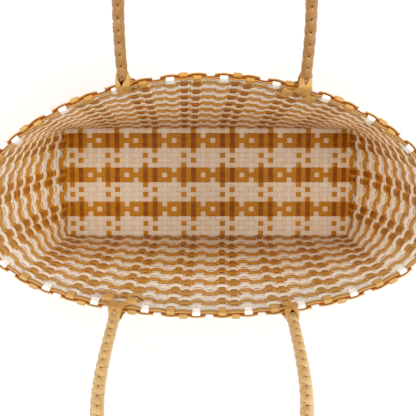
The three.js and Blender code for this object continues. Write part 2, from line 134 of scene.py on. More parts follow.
def length_property(name, description, default):
    return FloatProperty(name=name, description=description, default=default, unit="LENGTH")


def colour_property(name, description, default):
    return FloatVectorProperty(
        name=name, description=description, default=default, subtype="COLOR", size=3
    )


class ToteSizes(bpy.types.PropertyGroup):
    """Sizes of the strips and of the weave."""

    strip_width: length_property(
        "Strip width", "Width of the uprights and of their folded ends", 0.0063
    )
    row_width: length_property(
        "Floor row width", "Width of the lengthwise strips, which lie packed in the floor", 0.0056
    )
    column_width: length_property(
        "Floor column width", "Width that the crosswise strips are pressed to in the floor", 0.0053
    )
    ring_width: length_property("Weft width", "Width of the weft strips in the wall", 0.0061)
    strip_thickness: length_property("Strip thickness", "Thickness of every flat strip", 0.001)
    weft_swing: length_property(
        "Weft swing", "How far a weft strip swings to each side of the wall's middle", 0.00115
    )
    upright_swing: length_property(
        "Upright swing", "How far an upright swings to each side of the wall's middle", 0.00045
    )
    floor_swing: length_property(
        "Floor swing", "How far the floor strips swing above and below the floor's middle", 0.00016
    )
    band_offset: length_property(
        "Rim band offset", "Distance of each rim band from the wall's middle", 0.00125
    )
    band_wave: length_property(
        "Rim band wave", "How far the rim bands bow in and out between the folds", 0.0005
    )
    braid_radius: length_property(
        "Braid radius", "Middle radius of the braid round the handle's core", 0.0035
    )
    foot_width: length_property(
        "Foot ribbon width", "Width of the flat ribbons that tie a handle to the rim", 0.0066
    )
    braid_pitch: length_property(
        "Braid pitch", "Length of handle in which a strand goes once round it", 0.0196
    )
    braid_width: length_property(
        "Braid strand width", "Width of each of the handle's four flat strands", 0.0061
    )
    seed: IntProperty(
        name="Seed", description="Seed of the small differences between strips", default=7
    )


class ToteColours(bpy.types.PropertyGroup):
    """Colours of the strips, linear."""

    white: colour_property("White strip", "Colour of the white strips", (0.92, 0.84, 0.70))
    # Deeper tone: the strips' own uneven tone, and painted shade where a tan strip lies behind
    white_shade: colour_property(
        "White strip, deeper tone",
        "Warm tone in the white strips' lines and crossings",
        (0.84, 0.67, 0.46),
    )
    # Painted light: the paler colour that takes over towards the mouth, where more light falls into the bag
    white_rim: colour_property(
        "White strip at the rim",
        "Bleached colour of the white strips near the rim",
        (0.90, 0.88, 0.85),
    )
    # Painted shade at the white strips' edges, in their crevices, warm as if lit through tan
    white_edge: colour_property(
        "White strip's edge",
        "Colour of the white strips' edges, where tan shines through",
        (0.74, 0.52, 0.28),
    )
    tan: colour_property("Tan strip", "Colour of the tan strips", (0.64, 0.285, 0.015))
    # Deeper tone: the strips' own uneven tone, and painted shade where a tan strip lies behind
    tan_shade: colour_property(
        "Tan strip, deeper tone",
        "Brown tone in the tan strips' lines and crossings",
        (0.30, 0.068, 0.001),
    )
    # Painted light: the paler colour that takes over towards the mouth, where more light falls into the bag
    tan_rim: colour_property(
        "Tan strip at the rim",
        "Bleached colour of the tan strips near the rim",
        (0.55, 0.33, 0.115),
    )
    # Painted light on the tan strips' edges, paler than their shaded tone
    tan_edge: colour_property(
        "Tan strip's edge", "Colour of the tan strips' rubbed edges", (0.60, 0.29, 0.04)
    )
    handle: colour_property("Handle strand", "Colour of the braided strands", (0.72, 0.48, 0.205))
    # Deeper tone: the strands' own uneven tone, and painted shade at their edges and over the whole back
    # braid
    handle_shade: colour_property(
        "Handle strand, deeper tone", "Deeper tone of the braided strands", (0.36, 0.17, 0.042)
    )
    strap: colour_property("Strap", "Colour of the handles' feet and lashings", (0.68, 0.40, 0.125))
    # Deeper tone: the straps' own uneven tone, and painted shade at their edges
    strap_shade: colour_property(
        "Strap, deeper tone", "Deeper tone of the feet and lashings", (0.42, 0.19, 0.035)
    )
    # Painted shade: colour of the dark sheet laid in the gap between the rim bands
    filler: colour_property(
        "Rim filler", "Colour of the strip between the rim bands", (0.42, 0.09, 0.005)
    )
    # Painted shade where a strip goes under another on the wall
    hollow: colour_property(
        "Hollow", "Colour of a strip where it goes under another on the wall", (0.16, 0.035, 0.001)
    )
    # Painted shade: the core is near black, so that the gaps between the strands look dark
    core: colour_property(
        "Handle core", "Colour of the core between the strands", (0.10, 0.012, 0.002)
    )
    table: colour_property("Table", "Colour of the plain floor under the bag", (0.80, 0.80, 0.80))


# The wall as a surface


def column_x(column):
    """The columns' pitch shrinks towards the floor's ends, with the square of the distance."""
    share = (np.asarray(column, float) * 2 + 1 - COLUMN_COUNT) / (COLUMN_COUNT - 1)
    return (COLUMN_COUNT - 1) / 2 * COLUMN_PITCH * share * (1 - COLUMN_SQUEEZE * share**2)


def row_y(row):
    return ((ROW_COUNT - 1) / 2 - row) * ROW_PITCH


def wall_rise(height):
    """Share of the wall's height, from 0 to 1."""
    return np.clip((height - WALL_BOTTOM) / (WALL_TOP - WALL_BOTTOM), 0, 1)


def hump(share):
    """Grows from 0 to 1 in the first third and falls back to 0: 27/4 share (1 - share)^2."""
    return 27 / 4 * share * (1 - share) ** 2


def smooth_loop(values, reach):
    """Averages a closed table of values over reach places to each side, twice."""
    kernel = np.ones(2 * reach + 1) / (2 * reach + 1)
    for _ in range(2):
        padded = np.concatenate([values[-reach:], values, values[:reach]])
        values = np.convolve(padded, kernel, mode="valid")
    return values


class Wall:
    """The middle surface of the wall, a function of a place round the bag and a height.

    A place is counted in uprights from the front left corner, anticlockwise seen from above, so
    that upright number n stands at place n + 0.5. A point is a blend of the floor's edge and the
    mouth at the same place. The share of the mouth grows with height, faster low down, and the two
    ends swell. Just under its rim the front side is drawn in a little, so that its rim flares more.
    """

    STEPS = 32

    def __init__(self):
        self.places = np.arange(UPRIGHT_COUNT * self.STEPS) / self.STEPS
        reach = round(CORNER_ROUNDING * self.STEPS)
        floor_x, floor_y = self.floor_edge()
        self.floor_x = smooth_loop(floor_x, reach)
        self.floor_y = smooth_loop(floor_y, reach)
        self.mouth_x, self.mouth_y = self.mouth_edge()
        right = np.clip((self.places - RIGHT_END) / END_COUNT, 0, 1)
        left = np.clip((self.places - LEFT_END) / END_COUNT, 0, 1)
        self.bulge = END_BULGE * (np.sin(np.pi * right) - np.sin(np.pi * left))
        front = np.clip(self.places / COLUMN_COUNT, 0, 1)
        self.lip = LIP_FLARE * np.sin(np.pi * front)

    def floor_edge(self):
        """The floor's edge: columns along the sides, rows along the ends, corners between them."""
        side_end = column_x(COLUMN_COUNT - 1)
        row_places = [RIGHT_END + 0.5 + order for order in range(len(END_ROWS))]
        end_y = [row_y(row) for row in END_ROWS]
        mirrored_places = [LEFT_END + BACK_SIDE - place for place in reversed(row_places)]
        places_x = [0, 0.5, RIGHT_END - 0.5, RIGHT_END, BACK_SIDE, BACK_SIDE + 0.5]
        places_x += [LEFT_END - 0.5, LEFT_END, UPRIGHT_COUNT]
        right_x = [-FLOOR_HALF_LENGTH, -side_end, side_end, FLOOR_HALF_LENGTH]
        values_x = right_x + right_x[::-1] + [-FLOOR_HALF_LENGTH]
        places_y = [0, RIGHT_END, *row_places, BACK_SIDE, LEFT_END, *mirrored_places, UPRIGHT_COUNT]
        values_y = [-FLOOR_HALF_WIDTH, -FLOOR_HALF_WIDTH, *end_y, FLOOR_HALF_WIDTH]
        values_y += [FLOOR_HALF_WIDTH, *reversed(end_y), -FLOOR_HALF_WIDTH]
        return (
            np.interp(self.places, places_x, values_x),
            np.interp(self.places, places_y, values_y),
        )

    def mouth_edge(self):
        """An ellipse whose ends sag towards the front, measured along its own length.

        The uprights of the two long sides stand a fixed pitch apart on it, and those of the ends
        share what is left. Those of the long sides lean clockwise by a drift times (1 - share^2),
        where the share runs from -1 to 1 along the side.
        """
        angles = np.linspace(0, 2 * np.pi, 4 * UPRIGHT_COUNT * self.STEPS + 1)
        x = MOUTH_HALF_LENGTH * np.sin(angles)
        y = -MOUTH_ADVANCE - MOUTH_HALF_WIDTH * np.cos(angles) - MOUTH_DROOP * np.sin(angles) ** 2
        lengths = np.concatenate([[0], np.cumsum(np.hypot(np.diff(x), np.diff(y)))])
        whole = lengths[-1]
        side = COLUMN_COUNT * RIM_PITCH / 2
        knots = [0, RIGHT_END, BACK_SIDE, LEFT_END, UPRIGHT_COUNT]
        marks = [-side, side, whole / 2 - side, whole / 2 + side, whole - side]
        along = np.interp(self.places, knots, marks)
        for start, drift in ((0, FRONT_DRIFT), (BACK_SIDE, BACK_DRIFT)):
            share = np.clip(2 * (self.places - start) / COLUMN_COUNT - 1, -1, 1)
            along = along - drift * (1 - share**2)
        along = along % whole
        return np.interp(along, lengths, x), np.interp(along, lengths, y)

    def look_up(self, table, place):
        place = np.asarray(place, float) % UPRIGHT_COUNT
        return np.interp(place, self.places, table, period=UPRIGHT_COUNT)

    def at(self, place, height):
        """Points of the wall. The share of the mouth is rise + MOUTH_LEAD rise (1 - rise)."""
        place, height = np.broadcast_arrays(np.asarray(place, float), np.asarray(height, float))
        rise = wall_rise(height)
        share = rise + MOUTH_LEAD * rise * (1 - rise)
        low_x, low_y, high_x, high_y, bulge, lip = (
            self.look_up(table, place)
            for table in (
                self.floor_x, self.floor_y, self.mouth_x, self.mouth_y, self.bulge, self.lip
            )
        )
        below_fold = np.clip((FOLD_TOP - height) / LIP_HEIGHT, 0, 1)
        x = low_x * (1 - share) + high_x * share + bulge * hump(rise)
        y = low_y * (1 - share) + high_y * share + lip * hump(below_fold)
        return np.stack([x, y + FRONT_TO_BACK_SHIFT, height], axis=-1)

    def off(self, place, height, offset):
        """Points offset out of the wall's middle."""
        return self.at(place, height) + self.outward(place, height) * offset[:, None]

    def along(self, place, height, step=0.25):
        """Unit vector round the bag, horizontal."""
        place = np.asarray(place)
        return unit(self.at(place + step, height) - self.at(place - step, height))

    def upward(self, place, height, step=0.004):
        """Unit vector up the wall."""
        height = np.asarray(height)
        return unit(self.at(place, height + step) - self.at(place, height - step))

    def outward(self, place, height):
        """Horizontal unit vector out of the bag."""
        along = self.along(place, height)
        return np.stack([along[..., 1], -along[..., 0], 0 * along[..., 0]], axis=-1)


def unit(vectors):
    return vectors / np.maximum(np.linalg.norm(vectors, axis=-1, keepdims=True), 1e-12)


WALL = Wall()


# Meshes made of strips

PROFILE_POINTS = 10
ACROSS_POWER, CROWN_POWER = 0.4, 0.7
PROFILE_ANGLES = 2 * np.pi * (np.arange(PROFILE_POINTS) + 0.5) / PROFILE_POINTS


def strip_profile():
    """Across and thickness shares of a flat strip with a slight crown and round edges.

    Across and thickness are powers of the cosine and of the sine, with their signs.
    """
    cosine, sine = np.cos(PROFILE_ANGLES), np.sin(PROFILE_ANGLES)
    across = np.sign(cosine) * np.abs(cosine) ** ACROSS_POWER
    height = np.sign(sine) * np.abs(sine) ** CROWN_POWER
    return across / np.abs(across).max(), height


ACROSS, HEIGHT = strip_profile()


def add_object(name, data):
    """Puts a new object into the scene."""
    thing = bpy.data.objects.new(name, data)
    bpy.context.scene.collection.objects.link(thing)
    return thing


class StripMesh:
    """Gathers closed tubes, each a grid of sections times profile points, into one mesh object.

    The UV map holds the length along the strip in metres, and the place across it from -1 to 1.
    The tone attribute holds one seeded number for each strip. The backing attribute is 1 where the
    strip lies against a tan one, and 0 against a white one; it steers painted shade. The tuck
    attribute grows from 0 to 1 where the strip goes under another on the wall, and steers the
    painted shade there.
    """

    def __init__(self):
        self.points, self.loops, self.starts, self.uvs = [], [], [], []
        self.attributes = {"tone": [], "backing": [], "tuck": []}
        self.point_count = self.loop_count = 0

    def add_tube(self, grid, tone, is_ring=False, backing=0.0, tuck=0.0, across=ACROSS):
        """grid is (sections, profile, 3); across is (profile,), from -1 to 1 over the strip."""
        sections, sides, _ = grid.shape
        steps = np.linalg.norm(np.diff(grid.mean(axis=1), axis=0), axis=1)
        lengths = np.concatenate([[0], np.cumsum(steps)])
        span = sections if is_ring else sections - 1
        here = np.arange(span)
        after = (here + 1) % sections
        side = np.arange(sides)
        turn = (side + 1) % sides
        quads = np.stack(
            [
                here[:, None] * sides + side,
                here[:, None] * sides + turn,
                after[:, None] * sides + turn,
                after[:, None] * sides + side,
            ],
            axis=-1,
        ).reshape(-1, 4)
        end_lengths = np.append(lengths, lengths[-1] + (steps.mean() if is_ring else 0))
        u_here = np.repeat(end_lengths[here], sides)
        u_after = np.repeat(end_lengths[here + 1], sides)
        v_here = np.tile(across[side], span)
        v_turn = np.tile(across[turn], span)
        u = np.stack([u_here, u_here, u_after, u_after], axis=-1)
        v = np.stack([v_here, v_turn, v_turn, v_here], axis=-1)
        faces = [quads]
        uvs = [np.stack([u, v], axis=-1).reshape(-1, 2)]
        if not is_ring:
            faces.append(side[None, ::-1])
            faces.append((sections - 1) * sides + side[None, :])
            for length, order in ((0.0, side[::-1]), (lengths[-1], side)):
                uvs.append(np.stack([np.full(sides, length), across[order]], axis=-1))
        for label, value in (("tone", tone), ("backing", backing), ("tuck", tuck)):
            self.attributes[label].append(np.repeat(np.broadcast_to(value, sections), sides))
        self.push(grid.reshape(-1, 3), faces, uvs, self.is_inside_out(grid, is_ring))

    @staticmethod
    def is_inside_out(grid, is_ring):
        """True where the profile turns so that the faces would point inwards."""
        middle = grid.mean(axis=1)
        forward = np.roll(middle, -1, axis=0) - middle
        if not is_ring:
            forward[-1] = forward[-2]
        first = grid - middle[:, None]
        turned = np.cross(first, np.roll(first, -1, axis=1)).sum(axis=1)
        return np.einsum("ij,ij->i", turned, forward).sum() > 0

    def push(self, points, faces, uvs, is_flipped):
        for block, uv in zip(faces, uvs):
            corners = block.shape[1]
            uv = uv.reshape(len(block), corners, 2)
            if not is_flipped:
                block, uv = block[:, ::-1], uv[:, ::-1]
            self.loops.append((block + self.point_count).ravel())
            self.uvs.append(uv.reshape(-1, 2))
            self.starts.append(self.loop_count + np.arange(len(block)) * corners)
            self.loop_count += block.size
        self.points.append(points)
        self.point_count += len(points)

    def build(self, name):
        """Puts the gathered tubes into a new mesh object, smooth, with its UV map and tone."""
        points = np.concatenate(self.points)
        loops = np.concatenate(self.loops)
        starts = np.concatenate(self.starts)
        mesh = bpy.data.meshes.new(name)
        mesh.vertices.add(len(points))
        mesh.vertices.foreach_set("co", points.astype(np.float32).ravel())
        mesh.loops.add(len(loops))
        mesh.loops.foreach_set("vertex_index", loops.astype(np.int32))
        mesh.polygons.add(len(starts))
        mesh.polygons.foreach_set("loop_start", starts.astype(np.int32))
        mesh.update(calc_edges=True)
        layer = mesh.uv_layers.new(name="strip")
        layer.data.foreach_set("uv", np.concatenate(self.uvs).astype(np.float32).ravel())
        for label, values in self.attributes.items():
            attribute = mesh.attributes.new(label, "FLOAT", "POINT")
            attribute.data.foreach_set("value", np.concatenate(values).astype(np.float32))
        mesh.shade_smooth()
        mesh.validate()
        return add_object(name, mesh)


def build_strip(name, grid, tone, **details):
    """A mesh object of a single strip."""
    mesh = StripMesh()
    mesh.add_tube(grid, tone, **details)
    return mesh.build(name)


def strip_grid(path, sideways, width, thickness, is_ring=False):
    """Carries the strip's profile along a path.

    At each point the face's normal is the path's direction crossed with the sideways direction.
    """
    if is_ring:
        forward = np.roll(path, -1, axis=0) - np.roll(path, 1, axis=0)
    else:
        forward = np.gradient(path, axis=0)
    forward = unit(forward)
    normal = unit(np.cross(sideways, forward))
    side = np.cross(forward, normal)
    half_width = np.broadcast_to(np.asarray(width, float) / 2, len(path))
    half_thickness = np.broadcast_to(np.asarray(thickness, float) / 2, len(path))
    return (
        path[:, None, :]
        + side[:, None, :] * (half_width[:, None] * ACROSS)[..., None]
        + normal[:, None, :] * (half_thickness[:, None] * HEIGHT)[..., None]
    )


def swing(phase):
    """A wave that lingers at its ends, as a flat strip does: cosine times (1.25 - cosine^2 / 4)."""
    wave = np.cos(np.pi * phase)
    return wave * (1.25 - 0.25 * wave**2)


# Strips of the floor and their uprights

# A folded end: how far its tip hangs below the band's top, and how far it stands off or presses in
FOLDED_TIP = 0.0048
INNER_TIP_SPRING = 0.0016
OUTER_TIP_PRESS = 0.0003
TIP_CURVE = 1.5
TIP_SECTIONS, FOLD_SECTIONS = 5, 9
# The swing calms down over the last ring
CALM_END, CALM_SPAN = RING_COUNT + 0.1, 0.8
UPRIGHT_START = 0.0006
STEPS_EACH_RING = 4


def ring_number(height):
    """Counts weft rings from the floor. A whole number is the middle of a ring."""
    return (height - WALL_BOTTOM) / RING_PITCH - 0.5


def upright_profile(place, sizes):
    """Offsets out of the wall's middle, and heights, from the folded tip at the rim to the floor.

    The end folds in a half circle over the inner band at an even upright and over the outer band at
    an odd one. The inner ends spring away from the band. Below, the strip swings against the weft
    rings, but not in the last one.
    """
    direction, spring = (1, -OUTER_TIP_PRESS) if int(place) % 2 == 1 else (-1, INNER_TIP_SPRING)
    radius = sizes.band_offset
    centre_height = FOLD_TOP - sizes.strip_thickness / 2 - radius
    tip_height = BAND_TOP - FOLDED_TIP
    tip = np.linspace(tip_height, centre_height, TIP_SECTIONS)[:-1]
    droop = 1 - (tip - tip_height) / (centre_height - tip_height)
    tip_offset = 2 * radius + spring * droop**TIP_CURVE
    turn = np.linspace(0, np.pi, FOLD_SECTIONS)
    fold_offset = radius + radius * np.cos(turn)
    fold_height = centre_height + radius * np.sin(turn)
    low = WALL_BOTTOM + UPRIGHT_START
    wall_steps = round((centre_height - low) / RING_PITCH * STEPS_EACH_RING)
    height = np.linspace(centre_height, low, wall_steps + 1)[1:]
    rings = ring_number(height)
    calm = np.clip((CALM_END - rings) / CALM_SPAN, 0, 1)
    offset = sizes.upright_swing * swing(int(place) + rings) * calm
    offsets = np.concatenate([direction * tip_offset, direction * fold_offset, offset])
    return offsets, np.concatenate([tip, fold_height, height])


def upright_path(place, sizes):
    offsets, heights = upright_profile(place, sizes)
    return WALL.off(place, heights, offsets), WALL.along(place, heights)


def bend(start, corner, end, count=5):
    """A quadratic curve from start to end, drawn towards the corner, without its two ends."""
    share = np.linspace(0, 1, count + 2)[1:-1, None]
    return start * (1 - share) ** 2 + corner * 2 * share * (1 - share) + end * share**2


def crossing_path(first_place, second_place, floor_path, sizes, floor_side):
    """Down one wall, across the floor and up the other wall, with the sideways directions."""
    down, down_side = upright_path(first_place, sizes)
    up, up_side = (part[::-1] for part in upright_path(second_place, sizes))
    corners = [
        np.append(WALL.at(place, WALL_BOTTOM)[:2], FLOOR_MIDDLE)
        for place in (first_place, second_place)
    ]
    first_bend = bend(down[-1], corners[0], floor_path[0])
    second_bend = bend(floor_path[-1], corners[1], up[0])
    count = len(first_bend)
    turn = np.linspace(0, 1, count)[:, None]
    path = np.concatenate([down, first_bend, floor_path, second_bend, up])
    sideways = np.concatenate(
        [
            down_side,
            down_side[-1] * (1 - turn) + floor_side * turn,
            np.tile(floor_side, (len(floor_path), 1)),
            floor_side * (1 - turn) - up_side[0] * turn,
            -up_side,
        ]
    )
    return path, unit(sideways)


TOWARDS_RIGHT = np.array([1.0, 0.0, 0.0])
TOWARDS_FRONT = np.array([0.0, -1.0, 0.0])
ROW_STEPS = 10
TURNING_ROW_REACH = 0.4
STOPPING_ROW_REACH = 0.8


def row_number(y):
    """Counts the floor's rows from the back. A whole number is the middle of a row."""
    return (ROW_COUNT - 1) / 2 - y / ROW_PITCH


def column_places(column):
    """Where a column's two uprights stand, in the front and in the back wall."""
    return column + 0.5, BACK_SIDE + COLUMN_COUNT - 0.5 - column


def row_places(row):
    """Where a row's two uprights stand, in the left and in the right end."""
    right = RIGHT_END + 0.5 + END_ROWS.index(row)
    return LEFT_END + BACK_SIDE - right, right


def column_strip(column, sizes):
    """A crosswise strip. In the floor it shows over the rows whose number plus its own is odd."""
    half = (ROW_COUNT / 2 - 0.25) * ROW_PITCH
    y = np.linspace(-half, half, 4 * (ROW_COUNT + 1))
    x = np.full(len(y), column_x(column))
    z = FLOOR_MIDDLE + sizes.floor_swing * swing(row_number(y) + column + 1)
    floor_path = np.stack([x, y + FRONT_TO_BACK_SHIFT, z], axis=-1)
    return crossing_path(*column_places(column), floor_path, sizes, TOWARDS_RIGHT)


def row_columns(reach):
    """Column numbers in small steps along a row that passes the outer columns' middles by reach."""
    last = round(ROW_STEPS * (COLUMN_COUNT - 1 + reach))
    return np.arange(round(-ROW_STEPS * reach), last + 1) / ROW_STEPS


def row_floor_path(row, reach, sizes):
    columns = row_columns(reach)
    y = np.full(len(columns), row_y(row) + FRONT_TO_BACK_SHIFT)
    z = FLOOR_MIDDLE + sizes.floor_swing * swing(columns + row)
    return np.stack([column_x(columns), y, z], axis=-1)


COLUMN_IS_TAN = np.arange(COLUMN_COUNT) % 4 < 2
ROW_IS_TAN = (np.arange(ROW_COUNT) - 1) % ROW_CYCLE < 3
RING_IS_TAN = np.arange(RING_COUNT) // RINGS_IN_PAIR % 2 == 0
END_IS_TAN = ROW_IS_TAN[list(END_ROWS)]
UPRIGHT_IS_TAN = np.concatenate(
    [COLUMN_IS_TAN, END_IS_TAN, [False], COLUMN_IS_TAN[::-1], [False], END_IS_TAN[::-1]]
)


def colour_word(is_tan):
    return "tan" if is_tan else "white"


def nearest(table, position, reach=0.5, gap=0.0):
    """The table's value at the whole number within reach of each position, or else the gap's."""
    number = np.rint(position)
    index = np.clip(number, 0, len(table) - 1).astype(int)
    return np.where(np.abs(position - number) <= reach, table[index], gap)


def crossing_backing(path, floor_table, floor_position, reach=0.5, gap=0.0):
    """Colour behind a strip: the ring's on the wall and the crossing strip's in the floor."""
    on_wall = nearest(RING_IS_TAN, ring_number(path[:, 2]))
    in_floor = nearest(floor_table, floor_position, reach, gap)
    return np.where(path[:, 2] > WALL_BOTTOM, on_wall, in_floor)


# Masks of painted shade where a strip goes under another on the wall
def tuck(inside, start, span):
    """Grows from 0 to 1 while a strip's inside share falls from start to start minus span."""
    return np.clip((start - inside) / span, 0, 1)


UPRIGHT_TUCK_START, UPRIGHT_TUCK_SPAN = 0.75, 0.6


def upright_tuck(place, path):
    """An upright goes under the rings above and below each of its squares."""
    height = path[:, 2]
    inside = -np.cos(np.pi * (int(place) + ring_number(height)))
    on_wall = (height > WALL_BOTTOM) * (height < WALL_TOP)
    return tuck(inside, UPRIGHT_TUCK_START, UPRIGHT_TUCK_SPAN) * on_wall


def tones(count, seed):
    """Seeded numbers from 0 to 1, one for each strip."""
    return np.random.default_rng(seed).random(count)


# How near a column must lie to back a row, and what backs a white row between the columns
ROW_BACKING_REACH = 0.25
ROW_BACKING_BETWEEN = 0.35
# Width of a stake's lower end as a share of its whole width
STAKE_POINT = 0.35


def wall_widths(path, floor_width, sizes):
    """Widths of a strip along its path. It has its full width from half the wall's height up."""
    share = np.minimum(1, 2 * wall_rise(path[:, 2]))
    return floor_width + (sizes.strip_width - floor_width) * share


def build_columns(sizes, finishes):
    """Thirty crosswise strips, each with its two uprights and folded ends."""
    tone = tones(COLUMN_COUNT, sizes.seed)
    for column in range(COLUMN_COUNT):
        path, sideways = column_strip(column, sizes)
        y = path[:, 1] - FRONT_TO_BACK_SHIFT
        backing = crossing_backing(path, ROW_IS_TAN, row_number(y))
        front_tuck, back_tuck = (upright_tuck(place, path) for place in column_places(column))
        tucks = np.where(y < 0, front_tuck, back_tuck)
        width = wall_widths(path, sizes.column_width, sizes)
        grid = strip_grid(path, sideways, width, sizes.strip_thickness)
        colour = colour_word(COLUMN_IS_TAN[column])
        number = f"{column + 1:02d}"
        name = f"crosswise_ribbon_{number}"
        piece = build_strip(name, grid, tone[column], backing=backing, tuck=tucks)
        dress(piece, f"{colour}_strip", finishes)
        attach(piece, "bag")
        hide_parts(f"crosswise_strip_{number}_{colour}")


def build_rows(sizes, finishes):
    """Lengthwise strips. Thirteen turn up at the ends, and nine stop under the last column."""
    tone = tones(ROW_COUNT, sizes.seed + 1)
    for row in range(ROW_COUNT):
        if row in END_ROWS:
            floor_path = row_floor_path(row, TURNING_ROW_REACH, sizes)
            path, sideways = crossing_path(*row_places(row), floor_path, sizes, TOWARDS_FRONT)
            width = wall_widths(path, sizes.row_width, sizes)
            left_tuck, right_tuck = (upright_tuck(place, path) for place in row_places(row))
            tucks = np.where(path[:, 0] > 0, right_tuck, left_tuck)
        else:
            path = row_floor_path(row, STOPPING_ROW_REACH, sizes)
            sideways = np.tile(TOWARDS_FRONT, (len(path), 1))
            width, tucks = sizes.row_width, 0.0
        columns = np.interp(path[:, 0], column_x(row_columns(1)), row_columns(1))
        between = 0 if ROW_IS_TAN[row] else ROW_BACKING_BETWEEN
        backing = crossing_backing(path, COLUMN_IS_TAN, columns, ROW_BACKING_REACH, between)
        grid = strip_grid(path, sideways, width, sizes.strip_thickness)
        name = f"lengthwise_ribbon_{row + 1:02d}"
        piece = build_strip(name, grid, tone[row], backing=backing, tuck=tucks)
        dress(piece, f"{colour_word(ROW_IS_TAN[row])}_strip", finishes)
        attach(piece, "bag")
        if row in GROUP_STARTS:
            group = GROUP_STARTS.index(row)
            last = (*GROUP_STARTS, ROW_COUNT)[group + 1] - 1
            ground = colour_word(ROW_IS_TAN[last])
            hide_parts(f"lengthwise_group_{group + 1}_{ground}")


def build_stakes(sizes, finishes):
    """Two white stakes pushed into the wall at the back corners. They taper in its lowest fifth."""
    tone = tones(2, sizes.seed + 2)
    places = {"right": BACK_SIDE - 0.5, "left": LEFT_END + 0.5}
    for order, (side, place) in enumerate(places.items()):
        path, sideways = upright_path(place, sizes)
        taper = STAKE_POINT + (1 - STAKE_POINT) * np.minimum(1, 5 * wall_rise(path[:, 2]))
        width = wall_widths(path, sizes.row_width, sizes) * taper
        backing = nearest(RING_IS_TAN, ring_number(path[:, 2]))
        grid = strip_grid(path, sideways, width, sizes.strip_thickness)
        name, tucks = f"corner_stake_{side}", upright_tuck(place, path)
        piece = build_strip(name, grid, tone[order], backing=backing, tuck=tucks)
        dress(piece, "white_strip", finishes)
        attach(piece, "bag")


# Weft rings and rim bands

RING_STEPS = 8
RING_DRIFT = 0.00015
RING_WOBBLE = 0.00012
FIRST_RING_EXTRA = 0.0012
RING_BACKING_REACH = 0.3
RING_TUCK_START, RING_TUCK_SPAN, RING_TUCK_MOST = 0.2, 0.8, 0.25
BAND_CLEARANCE = 0.0002
BAND_WOBBLE = 0.0002
# A dark sheet of painted shade in the gap between the two rim bands
GAP_SHADE_STEPS = 3
GAP_SHADE_DEPTH = 0.0026
GAP_SHADE_WIDTH = 2.2  # band offsets
GAP_SHADE_THICKNESS = 0.0008
GAP_SHADE_TONE = 0.6


def places_round(steps_each):
    """Places all round the bag, with some steps for each upright."""
    return np.arange(steps_each * UPRIGHT_COUNT) / steps_each


def ring_grid(height, width, offset, sizes):
    """A closed strip round the bag. Its height and its offset from the wall's middle vary."""
    place = places_round(RING_STEPS)
    path, upward = WALL.off(place, height, offset), WALL.upward(place, height)
    return strip_grid(path, upward, width, sizes.strip_thickness, is_ring=True)


def slow_waves(steps, rng, size, count=6):
    """A closed, smooth, seeded unevenness: a sum of a few whole waves round the loop."""
    angle = np.linspace(0, 2 * np.pi, steps, endpoint=False)
    numbers = rng.integers(2, 14, count)
    phases = rng.random(count) * 2 * np.pi
    heights = rng.random(count) * size * 2 / count
    return (heights[:, None] * np.sin(numbers[:, None] * angle + phases[:, None])).sum(axis=0)


def build_rings(sizes, finishes):
    """Thirty-two weft strips in pairs of one colour. The first reaches down to the floor's edge.

    A ring is inside where its number plus the upright's is even.
    """
    rng = np.random.default_rng(sizes.seed + 3)
    place = places_round(RING_STEPS)
    backing = nearest(UPRIGHT_IS_TAN, place - 0.5, RING_BACKING_REACH)
    for pair in range(RING_COUNT // RINGS_IN_PAIR):
        mesh = StripMesh()
        for ring in (2 * pair, 2 * pair + 1):
            phase = place - 0.5 + ring
            offset = -sizes.weft_swing * swing(phase) + slow_waves(len(place), rng, RING_DRIFT)
            extra = FIRST_RING_EXTRA if ring == 0 else 0
            level = WALL_BOTTOM + (ring + 0.5) * RING_PITCH - extra / 2
            height = level + slow_waves(len(place), rng, RING_WOBBLE)
            grid = ring_grid(height, sizes.ring_width + extra, offset, sizes)
            # Painted shade where the ring goes under an upright
            under = tuck(np.cos(np.pi * phase), RING_TUCK_START, RING_TUCK_SPAN)
            under = RING_TUCK_MOST * under
            mesh.add_tube(grid, rng.random(), True, backing, under)
        colour = colour_word(RING_IS_TAN[2 * pair])
        piece = mesh.build(f"weft_pair_{pair + 1:02d}")
        dress(piece, f"{colour}_strip", finishes)
        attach(piece, "bag")
        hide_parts(f"weft_hoop_{pair + 1:02d}_{colour}")


def build_bands(sizes, finishes):
    """Two bands at the rim, which the uprights fold over in turn.

    Each bows away from the folds over the other one.
    """
    rng = np.random.default_rng(sizes.seed + 4)
    place = places_round(RING_STEPS)
    wave = sizes.band_wave * np.cos(np.pi * (place - 0.5))
    for side, direction in (("inner", -1), ("outer", 1)):
        offset = direction * (sizes.band_offset + BAND_CLEARANCE) + wave
        height = (BAND_BOTTOM + BAND_TOP) / 2 + slow_waves(len(place), rng, BAND_WOBBLE)
        grid = ring_grid(height, BAND_TOP - BAND_BOTTOM, offset, sizes)
        piece = build_strip(f"rim_band_{side}", grid, rng.random(), is_ring=True)
        dress(piece, "tan_rim", finishes)
        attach(piece, "bag")
        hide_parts(f"rim_{side}_band")


def build_gap_shade(sizes, finishes):
    """A flat dark sheet of painted shade that lies between the two bands on the top of the wall, its
    face up, standing in for the shaded gap between them.
    """
    rng = np.random.default_rng(sizes.seed + 8)
    place = places_round(GAP_SHADE_STEPS)
    height = BAND_TOP - GAP_SHADE_DEPTH + slow_waves(len(place), rng, BAND_WOBBLE)
    path = WALL.at(place, height)
    width = GAP_SHADE_WIDTH * sizes.band_offset
    grid = strip_grid(path, WALL.outward(place, height), width, GAP_SHADE_THICKNESS, is_ring=True)
    piece = build_strip("rim_filler", grid, GAP_SHADE_TONE, is_ring=True)
    dress(piece, "tan_rim", finishes, "rim_filler")
    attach(piece, "bag")


# Handles


